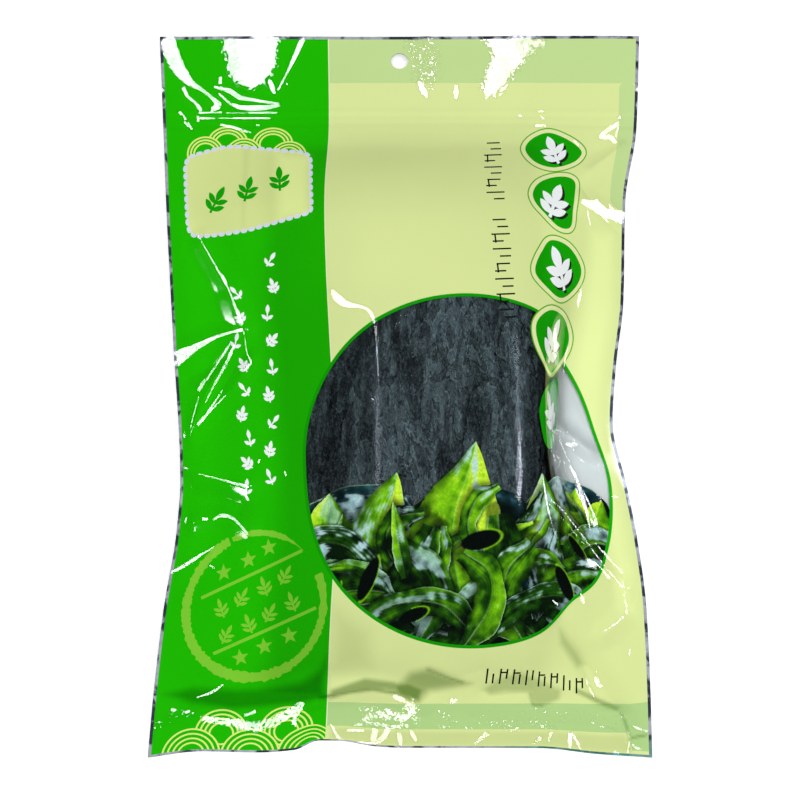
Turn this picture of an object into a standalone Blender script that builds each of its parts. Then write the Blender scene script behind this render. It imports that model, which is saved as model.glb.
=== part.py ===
"""A sealed pouch of dried wakame, lying on its back.

One closed solid: a flat zip pouch, 200 x 300 mm when empty, drawn over a
bundle of dried strands.  X runs across the pouch, +Y to its hang hole and +Z
up.  The film is laid out flat first, as u across (-100 to 100) and v from the
bottom edge (0 to 300), and each point of it is then carried into space.
Lengths are in millimetres until the mesh is made.
"""
import math

import bpy
import numpy as np
from mathutils import Vector
from mathutils.geometry import delaunay_2d_cdt

MM = 0.001

# The empty pouch.
FILM_W = 200.0
FILM_L = 300.0
SEAL_W = 8.0
SEAL_T = 0.5
HALF_W = FILM_W / 2

# The filled pouch, as it lies.
LAID_L = 294.0
PULL_REACH = 14.0          # how far up a pull on the bottom edge is felt

# Details of the header.
HOLE_D = 7.0
HOLE_V = FILM_L - 11.0
HOLE_SIDES = 20
NOTCH_V = 276.5
NOTCH_DEPTH = 1.2
NOTCH_HALF = 1.1
ZIP_LOW, ZIP_HIGH = 258.3, 268.0
ZIP_RAILS = (262.3, 264.9)
ZIP_TAPE_T = 0.5
RAIL_H, RAIL_HALF = 0.9, 1.1

# The folds go on, lower, to this far past the film's edge.
FOLD_FADE = 4.0

# The back is flat on the table this far in from the seams.
FLANK_W = 30.0
BACK_TOP_V, BACK_BOTTOM_V = 238.0, 16.0

# Outline of the laid pouch: (v, distance of the side edge from the middle).
LEFT_EDGE = ((0, 100.0), (25, 97.7), (61, 93.2), (91, 88.2), (111, 86.9),
             (171, 91.0), (241, 96.1), (300, 99.8))
RIGHT_EDGE = ((0, 100.0), (25, 99.4), (61, 97.6), (86, 94.2), (110, 89.6),
              (134, 84.4), (158, 86.2), (184, 89.7), (228, 91.7), (259, 97.1),
              (300, 99.2))

# How far the filling draws in the bottom edge, with a pleat: (u, pull).
BOTTOM_EDGE = ((-100, 0.0), (-79, 2.5), (-56, 2.1), (-42, 3.1), (-32, 6.8),
               (-24, 6.7), (-10, 4.6), (0, 4.0), (55, 3.8), (79, 1.4),
               (100, 0.0))

# Rails of the front film, from side to side: (v, x, height).
LEFT_SEAM = ((0, 2.0), (25, 5.0), (60, 10.0), (100, 14.0), (130, 15.0),
             (170, 13.0), (215, 10.5), (241, 8.0), (262, 6.0), (300, 4.0))
RIGHT_SEAM = ((0, 2.0), (25, 4.0), (60, 8.0), (100, 13.0), (134, 15.0),
              (170, 13.5), (215, 10.0), (241, 8.0), (262, 6.5), (300, 5.0))
RAILS = (
    # the left shoulder of the bundle
    ((0, -60, 2.2), (12, -60, 4.0), (26, -60, 9.0), (45, -60, 18.0),
     (70, -60, 24.0), (110, -60, 27.0), (180, -60, 27.5), (215, -60, 25.0),
     (236, -60, 17.0), (250, -60, 11.0), (262, -60, 7.5), (300, -60, 4.5)),
    # its crest, left
    ((0, -8, 2.6), (12, -8, 5.0), (26, -8, 12.0), (45, -8, 27.0),
     (70, -8, 36.5), (110, -8, 41.0), (150, -8, 42.0), (185, -8, 41.0),
     (215, -8, 36.5), (236, -8, 26.0), (250, -8, 15.5), (262, -8, 9.5),
     (300, -8, 3.8)),
    # its crest, right
    ((0, 44, 2.2), (12, 44, 5.0), (26, 44, 11.0), (45, 44, 25.0),
     (70, 44, 35.0), (110, 45, 40.0), (150, 45, 41.0), (185, 45, 39.5),
     (215, 45, 34.5), (236, 45, 24.0), (250, 45, 14.5), (262, 45, 9.0),
     (300, 45, 4.6)),
    # its right shoulder
    ((0, 62, 2.0), (26, 62, 8.0), (60, 62, 24.5), (90, 58, 33.5),
     (115, 56, 37.0), (150, 55.5, 38.0), (180, 57, 35.5), (215, 60, 29.5),
     (236, 61, 20.5), (250, 61, 13.0), (262, 61, 8.6), (300, 61, 5.0)),
    # the foot of its right side
    ((0, 81, 2.0), (26, 81, 5.5), (60, 84, 11.5), (75, 84, 14.0),
     (90, 76, 16.5), (115, 65, 17.5), (150, 62.7, 17.5), (166, 65, 18.5),
     (185, 71, 20.0), (215, 77, 18.5), (236, 78, 14.0), (250, 78, 10.0),
     (262, 78, 7.8), (300, 78, 5.2)),
)

# Main folds: height (a minus is a valley), half width and (u, v) places.
FOLDS = (
    # from a star on the left flank
    (1.9, 9.0, ((-83, 208), (-72, 189), (-67, 171))),
    (1.5, 7.0, ((-97, 165), (-84, 168), (-67, 171))),
    (-1.6, 8.0, ((-94, 153), (-80, 158), (-70, 162))),
    (1.7, 8.0, ((-95, 129), (-85, 146), (-67, 170))),
    (1.3, 7.0, ((-91, 133), (-74, 147), (-64, 158))),
    # over the top corner of the flat of the bundle
    (0.5, 8.0, ((-27, 184), (-15, 180), (-11, 172), (-11, 150))),
    # lower on the left
    (1.6, 8.0, ((-97, 116), (-82, 112), (-68, 108))),
    (-1.4, 8.0, ((-97, 106), (-84, 103), (-72, 99))),
    (1.5, 7.0, ((-92, 94), (-78, 97), (-66, 91))),
    (1.2, 7.0, ((-96, 74), (-82, 81))),
    (1.3, 8.0, ((-83, 23), (-71, 30))),
    # along the foot of the right side, and on down to the seam
    (-1.6, 7.0, ((72, 132), (71.5, 119), (80, 92), (90, 74))),
    (1.4, 6.0, ((79, 131), (88, 123))),
    (1.6, 8.0, ((82, 50), (94, 59))),
    (1.4, 6.0, ((91, 72), (92, 59))),
    # upper right
    (1.5, 8.0, ((78, 225), (96, 219))),
    (1.3, 7.0, ((82, 239), (94, 250))),
    # from the bundle to the bottom corner, and below the bundle
    (-2.2, 10.0, ((60, 54), (75, 36), (88, 18), (91, 6))),
    (1.6, 8.0, ((-36, 24), (-13, 28), (7, 22))),
    (1.2, 8.0, ((10, 36), (27, 30))),
    # across the header
    (1.5, 13.0, ((-64, 296), (-60, 284))),
    (-1.2, 9.0, ((-41, 297), (-47, 283), (-52, 274))),
    (1.3, 8.0, ((-96, 295), (-88, 279), (-76, 268))),
    (1.6, 13.0, ((46, 297), (48, 284), (40, 274))),
    (-1.0, 8.0, ((24, 296), (22, 280))),
)


def curve(points, at):
    """A smooth curve through points that never overshoots them."""
    x, y = (np.array(c, float) for c in zip(*points))
    step = np.diff(x)
    rise = np.diff(y) / step
    slope = np.zeros_like(y)
    same = rise[:-1] * rise[1:] > 0
    slope[1:-1][same] = (2 * rise[:-1] * rise[1:])[same] / (
        rise[:-1] + rise[1:])[same]
    slope[0], slope[-1] = rise[0], rise[-1]
    at = np.clip(at, x[0], x[-1])
    i = np.clip(np.searchsorted(x, at, side="right") - 1, 0, len(step) - 1)
    t = (at - x[i]) / step[i]
    return (y[i] * (1 + 2 * t) * (1 - t) ** 2 + y[i + 1] * t * t * (3 - 2 * t)
            + step[i] * t * (1 - t) * (slope[i] * (1 - t) - slope[i + 1] * t))


def ease(t):
    t = np.clip(t, 0.0, 1.0)
    return t * t * (3 - 2 * t)


def smoothed(grid, radius, axis):
    """Three passes of a running mean, with the ends held."""
    for _ in range(3):
        pads = [(0, 0), (0, 0)]
        pads[axis] = (radius + 1, radius)
        total = np.cumsum(np.pad(grid, pads, mode="edge"), axis=axis)
        span = 2 * radius + 1
        upper = np.take(total, np.arange(span, total.shape[axis]), axis=axis)
        lower = np.take(total, np.arange(0, total.shape[axis] - span),
                        axis=axis)
        grid = (upper - lower) / span
    return grid


class Drape:
    """The front film over the bundle, tabled once for both directions."""

    ROWS = 151
    COLUMNS = 401

    def __init__(self):
        self.v = np.linspace(0, FILM_L, self.ROWS)
        self.across = np.linspace(0, 1, self.COLUMNS)
        left, right = -curve(LEFT_EDGE, self.v), curve(RIGHT_EDGE, self.v)
        self.x = left[:, None] + (right - left)[:, None] * self.across
        rails = [[curve([(v, h) for v, _, h in rail], self.v) for rail in RAILS],
                 [curve([(v, x) for v, x, _ in rail], self.v) for rail in RAILS]]
        seams = curve(LEFT_SEAM, self.v), curve(RIGHT_SEAM, self.v)
        height = np.empty_like(self.x)
        for row in range(self.ROWS):
            knots = [(left[row], seams[0][row])]
            knots += [(x[row], h[row]) for h, x in zip(*rails)]
            knots.append((right[row], seams[1][row]))
            height[row] = curve(knots, self.x[row])
        height = smoothed(height, 5, 1)
        self.height = smoothed(height, 2, 0)
        # The film keeps its width, so u follows the length of the section.
        run = np.hypot(np.diff(self.x, axis=1), np.diff(self.height, axis=1))
        arc = np.concatenate([np.zeros((self.ROWS, 1)), np.cumsum(run, axis=1)],
                             axis=1)
        self.girth = arc[:, -1]
        self.u = arc / arc[:, -1:] * FILM_W - HALF_W

    def _row(self, v):
        row = min(max(v / FILM_L, 0.0), 1.0) * (self.ROWS - 1)
        low = min(int(row), self.ROWS - 2)
        return low, row - low

    def x_at(self, u, v):
        low, part = self._row(v)
        pair = [np.interp(u, self.u[i], self.x[i]) for i in (low, low + 1)]
        return pair[0] + (pair[1] - pair[0]) * part

    def height_at(self, u, v):
        low, part = self._row(v)
        pair = [np.interp(u, self.u[i], self.height[i]) for i in (low, low + 1)]
        return pair[0] + (pair[1] - pair[0]) * part


DRAPE = Drape()


def y_at(u, v):
    """The bottom edge is drawn in towards the filling, most at a pleat."""
    pull = float(curve(BOTTOM_EDGE, u)) * math.exp(-v / PULL_REACH)
    return v * LAID_L / FILM_L - LAID_L / 2 + pull


def distance(u, v, path):
    """From a point to a path of straight pieces."""
    nearest = math.inf
    for (u0, v0), (u1, v1) in zip(path, path[1:]):
        du, dv = u1 - u0, v1 - v0
        t = ((u - u0) * du + (v - v0) * dv) / (du * du + dv * dv)
        t = min(max(t, 0.0), 1.0)
        nearest = min(nearest, math.hypot(u - u0 - t * du, v - v0 - t * dv))
    return nearest


def folds_at(u, v):
    """The highest ridge and the deepest valley that reach this point."""
    ridge = valley = 0.0
    for height, half, path in FOLDS:
        away = distance(u, v, path) / half
        if away < 1:
            part = height * (1 - away) ** 2 * (1 + away)
            ridge, valley = max(ridge, part), min(valley, part)
    return ridge + valley


def zip_relief(v):
    tape = ZIP_TAPE_T / 2 * ease((v - ZIP_LOW) / 1.5) * ease((ZIP_HIGH - v) / 1.5)
    rails = sum(max(0.0, 1 - abs(v - rail) / RAIL_HALF) for rail in ZIP_RAILS)
    return tape + RAIL_H * rails


def heights(u, v):
    """Front and back height of the pouch at one point of the flat film."""
    front = DRAPE.height_at(u, v)
    inward = min(HALF_W - abs(u), v, FILM_L - v)
    front += folds_at(u, v) * ease((inward + FOLD_FADE) / (SEAL_W + FOLD_FADE))
    front = max(front, 2 * SEAL_T)
    # The back climbs from the table to the seams, and to the flat header.
    rise = max(1 - ease((inward - SEAL_W) / FLANK_W),
               ease((v - BACK_TOP_V) / (ZIP_LOW - 2 - BACK_TOP_V)),
               ease((BACK_BOTTOM_V - v) / (BACK_BOTTOM_V - SEAL_W)))
    left, right = curve(LEFT_SEAM, v), curve(RIGHT_SEAM, v)
    seam = left + (right - left) * (u + HALF_W) / FILM_W
    back = min(seam * rise ** 1.6, front) - SEAL_T
    header = ease((v - ZIP_LOW + 6) / 6)
    back += (front - SEAL_T - back) * header
    sealed = 1 - ease((inward - SEAL_W + 2) / 4)
    back += (front - SEAL_T - back) * sealed
    relief = zip_relief(v) * ease((inward - 1) / SEAL_W)
    return front + relief, max(back - relief, 0.0)


def outline():
    """The flat film's edge, anticlockwise, with its two tear notches."""
    steps_u, steps_v = 44, 60
    bottom = [(-HALF_W + FILM_W * i / steps_u, 0.0) for i in range(steps_u)]
    rise = [FILM_L * i / steps_v for i in range(steps_v + 1)]
    rise = [v for v in rise if abs(v - NOTCH_V) > NOTCH_HALF + 1.5]
    rise += [NOTCH_V - NOTCH_HALF, NOTCH_V, NOTCH_V + NOTCH_HALF]
    rise.sort()
    side = [(HALF_W - NOTCH_DEPTH * (v == NOTCH_V), v) for v in rise]
    top = [(HALF_W - FILM_W * i / steps_u, FILM_L) for i in range(1, steps_u)]
    return bottom + side + top + [(-u, v) for u, v in reversed(side[1:])]


def hole_ring():
    turn = 2 * math.pi / HOLE_SIDES
    return [(HOLE_D / 2 * math.cos(i * turn),
             HOLE_V + HOLE_D / 2 * math.sin(i * turn))
            for i in range(HOLE_SIDES)]


def fold_lines(step):
    """Points along the folds, and the pairs of them that the mesh joins."""
    points, links = [], []
    for _, _, path in FOLDS:
        last = None
        for (u0, v0), (u1, v1) in zip(path, path[1:]):
            count = max(1, round(math.hypot(u1 - u0, v1 - v0) / step))
            for i in range(count + 1):
                u = u0 + (u1 - u0) * i / count
                v = v0 + (v1 - v0) * i / count
                near_edge = min(HALF_W - abs(u), v, FILM_L - v) < 2.5
                near_zip = ZIP_LOW - 5 < v < ZIP_HIGH + 2
                near_other = any(math.hypot(u - a, v - b) < step * 0.6
                                 for a, b in points)
                if near_edge or near_zip or near_other:
                    continue
                points.append((u, v))
                if last is not None:
                    links.append((last, len(points) - 1))
                last = len(points) - 1
    return points, links


def filling_points(step_u, step_v, zip_rows, folds=()):
    """Points inside the film, in rows, clear of its edge, hole and folds."""
    rows = [SEAL_W]
    while rows[-1] + step_v < ZIP_LOW - 3:
        rows.append(rows[-1] + step_v)
    rows += zip_rows
    columns = round((FILM_W - 2 * SEAL_W) / step_u)
    points = list(folds)
    for v in rows:
        for i in range(columns + 1):
            u = -HALF_W + SEAL_W + (FILM_W - 2 * SEAL_W) * i / columns
            clear = math.hypot(u, v - HOLE_V) > HOLE_D / 2 + 1.6
            if clear and all(math.hypot(u - a, v - b) > step_u * 0.5
                             for a, b in folds):
                points.append((u, v))
    return points


def triangulated(points, edge, ring, links=()):
    """Triangles over the flat film: edge and ring first, then the points."""
    loops = list(edge) + list(ring)
    flat = [Vector(p) for p in loops + points]
    border = [(i, (i + 1) % len(edge)) for i in range(len(edge))]
    border += [(len(edge) + i, len(edge) + (i + 1) % len(ring))
               for i in range(len(ring))]
    border += [(len(loops) + a, len(loops) + b) for a, b in links]
    verts, _, faces, _, _, _ = delaunay_2d_cdt(flat, border, [], 1, 1e-6)
    across_hole = set(range(len(edge), len(loops)))
    kept = [tuple(face) for face in faces if not across_hole.issuperset(face)]
    return [tuple(p) for p in verts], kept


def pouch_mesh():
    edge, ring = outline(), hole_ring()
    rails = [z + d for z in ZIP_RAILS for d in (-RAIL_HALF, 0.0)]
    zip_rows = [ZIP_LOW - 2.5, ZIP_LOW, ZIP_LOW + 1.5, *rails,
                ZIP_RAILS[-1] + RAIL_HALF, ZIP_HIGH, 272.5, 278, 283, 288, 293]
    folds, links = fold_lines(3.2)
    front = triangulated(
        filling_points(4.1, 4.4, zip_rows, folds), edge, ring, links)
    back = triangulated(filling_points(9.2, 9.0, zip_rows), edge, ring)
    verts, faces = [], []
    for u, v in front[0]:
        verts.append((DRAPE.x_at(u, v), y_at(u, v), heights(u, v)[0]))
    start = len(verts)
    for u, v in back[0]:
        verts.append((DRAPE.x_at(u, v), y_at(u, v), heights(u, v)[1]))
    faces += front[1]
    faces += [tuple(start + i for i in reversed(face)) for face in back[1]]
    for first, count, inner in ((0, len(edge), False),
                                (len(edge), len(ring), True)):
        for i in range(count):
            a, b = first + i, first + (i + 1) % count
            if inner:
                a, b = b, a
            faces += [(b, a, start + a), (b, start + a, start + b)]
    return [tuple(c * MM for c in p) for p in verts], faces


def material():
    mat = bpy.data.materials.new("printed_film")
    mat.use_nodes = True
    shader = mat.node_tree.nodes["Principled BSDF"]
    shader.inputs["Base Color"].default_value = (0.55, 0.72, 0.18, 1)
    shader.inputs["Roughness"].default_value = 0.25
    return mat


def main():
    for old in list(bpy.data.objects):
        bpy.data.objects.remove(old, do_unlink=True)
    verts, faces = pouch_mesh()
    mesh = bpy.data.meshes.new("pouch")
    mesh.from_pydata(verts, [], faces)
    mesh.validate()
    mesh.update()
    pouch = bpy.data.objects.new("pouch", mesh)
    pouch.data.materials.append(material())
    bpy.context.scene.collection.objects.link(pouch)
    print("pouch:", len(mesh.vertices), "vertices,", len(mesh.polygons),
          "triangles, girth %.0f to %.0f mm" % (DRAPE.girth.min(),
                                                DRAPE.girth.max()))


main()
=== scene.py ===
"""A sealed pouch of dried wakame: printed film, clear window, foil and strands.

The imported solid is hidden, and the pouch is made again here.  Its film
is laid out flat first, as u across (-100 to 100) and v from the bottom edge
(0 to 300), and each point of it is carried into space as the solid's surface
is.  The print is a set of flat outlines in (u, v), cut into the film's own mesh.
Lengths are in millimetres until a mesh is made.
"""
import math

import bpy
import numpy as np
from mathutils import Matrix, Vector
from mathutils.geometry import delaunay_2d_cdt


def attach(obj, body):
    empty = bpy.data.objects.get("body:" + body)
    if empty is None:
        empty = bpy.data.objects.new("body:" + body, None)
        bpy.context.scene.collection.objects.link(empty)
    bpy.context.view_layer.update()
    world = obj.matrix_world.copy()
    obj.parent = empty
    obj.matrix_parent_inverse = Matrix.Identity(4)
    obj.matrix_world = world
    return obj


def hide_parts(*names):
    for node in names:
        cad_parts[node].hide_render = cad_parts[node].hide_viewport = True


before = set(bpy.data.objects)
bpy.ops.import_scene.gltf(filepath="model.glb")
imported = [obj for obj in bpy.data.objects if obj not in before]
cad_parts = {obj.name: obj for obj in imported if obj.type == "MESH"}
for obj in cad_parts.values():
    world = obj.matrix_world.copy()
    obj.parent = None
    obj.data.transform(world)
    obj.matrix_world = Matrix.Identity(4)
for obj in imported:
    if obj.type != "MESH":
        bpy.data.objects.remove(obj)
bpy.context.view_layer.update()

MM = 0.001
SEED = 20

# ---------------------------------------------------------------- the pouch
FILM_W = 200.0
FILM_L = 300.0
HALF_W = FILM_W / 2
SEAL_W = 8.0
SEAL_T = 0.5
LAID_L = 294.0
PULL_REACH = 14.0
HOLE_D = 7.0
HOLE_V = FILM_L - 11.0
NOTCH_V, NOTCH_DEPTH, NOTCH_HALF = 276.5, 1.2, 1.1
ZIP_LOW, ZIP_HIGH = 258.3, 268.0
ZIP_RAILS = (262.3, 264.9)
ZIP_TAPE_T = 0.5
RAIL_H, RAIL_HALF = 0.10, 1.2
FOLD_FADE = 4.0
FLANK_W = 30.0
BACK_TOP_V, BACK_BOTTOM_V = 238.0, 16.0

LEFT_EDGE = ((0, 100.0), (25, 97.7), (61, 93.2), (91, 88.2), (111, 86.9),
             (171, 91.0), (241, 96.1), (300, 99.8))
RIGHT_EDGE = ((0, 100.0), (25, 99.4), (61, 97.6), (86, 94.2), (110, 89.6),
              (134, 84.4), (158, 86.2), (184, 89.7), (228, 91.7), (259, 97.1),
              (300, 99.2))
BOTTOM_EDGE = ((-100, 0.0), (-79, 2.5), (-56, 2.1), (-42, 3.1), (-32, 6.8),
               (-24, 6.7), (-10, 4.6), (0, 4.0), (55, 3.8), (79, 1.4),
               (100, 0.0))
LEFT_SEAM = ((0, 2.0), (25, 5.0), (60, 10.0), (100, 14.0), (130, 15.0),
             (170, 13.0), (215, 10.5), (241, 8.0), (262, 6.0), (300, 4.0))
RIGHT_SEAM = ((0, 2.0), (25, 4.0), (60, 8.0), (100, 13.0), (134, 15.0),
              (170, 13.5), (215, 10.0), (241, 8.0), (262, 6.5), (300, 5.0))
# Rails of the front film from side to side: (v, x, height).
RAILS = (
    # the left shoulder of the bundle
    ((0, -60, 2.2), (12, -60, 4.0), (26, -60, 9.0), (45, -60, 18.0),
     (70, -60, 24.0), (110, -60, 27.0), (180, -60, 27.5), (215, -60, 25.0),
     (236, -60, 17.0), (250, -60, 11.0), (262, -60, 7.5), (300, -60, 4.5)),
    # its crest, left
    ((0, -8, 2.6), (12, -8, 5.0), (26, -8, 12.0), (45, -8, 27.0),
     (70, -8, 36.5), (110, -8, 41.0), (150, -8, 42.0), (185, -8, 41.0),
     (215, -8, 36.5), (236, -8, 26.0), (250, -8, 15.5), (262, -8, 9.5),
     (300, -8, 3.8)),
    # its crest, right
    ((0, 44, 2.2), (12, 44, 5.0), (26, 44, 11.0), (45, 44, 25.0),
     (70, 44, 35.0), (110, 45, 40.0), (150, 45, 41.0), (185, 45, 39.5),
     (215, 45, 34.5), (236, 45, 24.0), (250, 45, 14.5), (262, 45, 9.0),
     (300, 45, 4.6)),
    # its right shoulder
    ((0, 62, 2.0), (26, 62, 8.0), (60, 62, 24.5), (90, 58, 33.5),
     (115, 56, 37.0), (150, 55.5, 38.0), (180, 57, 35.5), (215, 60, 29.5),
     (236, 61, 20.5), (250, 61, 13.0), (262, 61, 8.6), (300, 61, 5.0)),
    # the foot of its right side
    ((0, 81, 2.0), (26, 81, 5.5), (60, 84, 11.5), (75, 84, 14.0),
     (90, 76, 16.5), (115, 65, 17.5), (150, 62.7, 17.5), (166, 65, 18.5),
     (185, 71, 20.0), (215, 77, 18.5), (236, 78, 14.0), (250, 78, 10.0),
     (262, 78, 7.8), (300, 78, 5.2)),
)
# Main folds: height (a minus is a valley), half width and (u, v) places.
FOLDS = (
    (1.9, 9.0, ((-83, 208), (-72, 189), (-67, 171))),
    (1.5, 7.0, ((-97, 165), (-84, 168), (-67, 171))),
    (-1.6, 8.0, ((-94, 153), (-80, 158), (-70, 162))),
    (1.7, 8.0, ((-95, 129), (-85, 146), (-67, 170))),
    (1.3, 7.0, ((-91, 133), (-74, 147), (-64, 158))),
    (0.5, 8.0, ((-27, 184), (-15, 180), (-11, 172), (-11, 150))),
    (1.6, 8.0, ((-97, 116), (-82, 112), (-68, 108))),
    (-1.4, 8.0, ((-97, 106), (-84, 103), (-72, 99))),
    (1.5, 7.0, ((-92, 94), (-78, 97), (-66, 91))),
    (1.2, 7.0, ((-96, 74), (-82, 81))),
    (1.3, 8.0, ((-83, 23), (-71, 30))),
    (-1.6, 7.0, ((72, 132), (71.5, 119), (80, 92), (90, 74))),
    (1.4, 6.0, ((79, 131), (88, 123))),
    (1.6, 8.0, ((82, 50), (94, 59))),
    (1.4, 6.0, ((91, 72), (92, 59))),
    (1.5, 8.0, ((78, 225), (96, 219))),
    (1.3, 7.0, ((82, 239), (94, 250))),
    (-2.2, 10.0, ((60, 54), (75, 36), (88, 18), (91, 6))),
    (1.6, 8.0, ((-36, 24), (-13, 28), (7, 22))),
    (0.6, 8.0, ((10, 36), (27, 30))),
    (0.5, 13.0, ((-64, 296), (-60, 284))),
    (-0.4, 9.0, ((-41, 297), (-47, 283), (-52, 274))),
    (0.5, 8.0, ((-96, 295), (-88, 279), (-76, 268))),
    (0.5, 13.0, ((46, 297), (48, 284), (40, 274))),
)
# Sharp creases on top of them: height (a minus is a valley), half width, share
# of the height left at the two ends, and places.
CREASES = (
    (0.35, 2.4, (0.2, 1.0), ((-83, 208), (-72.4, 189.6), (-66.8, 170.8))),
    (0.5, 4.0, (1.0, 0.3), ((-99, 160), (-87.5, 166), (-66.8, 170.6))),
    (0.35, 2.2, (0.5, 1.0), ((-95, 127.5), (-86.5, 145.5), (-66.8, 170.4))),
    (0.3, 2.0, (1.0, 0.5), ((-90.8, 133.1), (-73.6, 146.9), (-63.8, 157.7))),
    (0.4, 2.4, (0.3, 1.0), ((-90.6, 114.1), (-68.1, 108.1))),
    (0.4, 2.4, (0.3, 1.0), ((-99.8, 74.3), (-81.5, 81.4))),
    (0.4, 2.4, (0.3, 1.0), ((-82.7, 23.1), (-71.7, 29))),
    (-1.3, 5.0, (0.2, 0.6), ((-35, 22.6), (-21, 26), (-12, 27.6), (-1, 25.6),
                             (6, 21.6))),
    (-1.0, 5.0, (0.3, 0.4), ((6, 22), (13, 26), (27, 30))),
    (-1.0, 5.0, (0.8, 0.5), ((32, 27), (35, 24.5), (50, 26), (52, 20.5),
                             (58, 20.3), (64, 24))),
    (-1.2, 5.0, (0.4, 1.0), ((61, 53), (70, 43.5), (73, 36), (79, 22.5),
                             (88.5, 18.4))),
    (-0.9, 4.0, (0.4, 0.6), ((-88, 24), (-68, 20), (-40, 22.6), (-30, 23.4))),
    (-0.7, 4.0, (0.5, 0.5), ((10, 36), (22, 33), (30, 36))),
    (0.5, 3.0, (0.5, 1.0), ((82, 240), (90, 247), (95, 252))),
    (-0.6, 4.0, (0.5, 1.0), ((78, 232), (86, 222), (97, 214))),
)
# Ovals where the film is loose enough to crumple: how much, middle, half sizes.
LOOSE = ((1.0, 78, 60, 30, 70), (1.0, 88, 235, 24, 40), (0.6, -88, 130, 22, 110),
         (0.5, 0, 0, 130, 26), (0.35, 0, 285, 130, 22))
CRUMPLES = ((0.45, 15), (0.16, 6.5))    # height and size of the facets there
WAVE_H = 0.05                    # height of the soft waves all over the film

# --------------------------------------------------------- camera and lights
CAMERA_AIM = (0.0, -0.00425, 0.0)
CAMERA_TILT = math.radians(6.175)
CAMERA_FAR = 0.6336
LENS = 70.0
CAMERA_AT = (0.0, CAMERA_AIM[1] - CAMERA_FAR * math.sin(CAMERA_TILT),
             CAMERA_FAR * math.cos(CAMERA_TILT))
LIGHTS_FAR = 1.9
# Lit panels: degrees off the vertical to +X and to +Y, size across and along
# in metres, and brightness.
PANELS = {
    "header": (-70, 75, 0.15, 0.15, 20),
    "crest_strip": (-4.2, 11.2, 0.075, 0.34, 30),
    "crest_fade": (-4.2, 1.0, 0.03, 0.34, 5),
    "ridge_fade": (15, 7, 0.08, 0.42, 3),
    "ridge_strip": (17.5, -3.4, 0.045, 0.24, 50),
    "left_low": (-75, 8, 0.14, 0.14, 20),
    "right_low": (75, -10, 0.14, 0.14, 20),
    "foot": (-62, -50, 0.14, 0.14, 20),
    "overhead_fill": (5, -5, 2.4, 2.4, 2.73),
}
UNREFLECTED = "overhead_fill"
WHITE_LIGHT = (1.0, 1.0, 1.0)
COOL_LIGHT = (0.78, 0.86, 1.0)   # of the strips mirrored along the bundle
WORLD_COLOUR = (0.010, 0.011, 0.013, 1)
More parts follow.
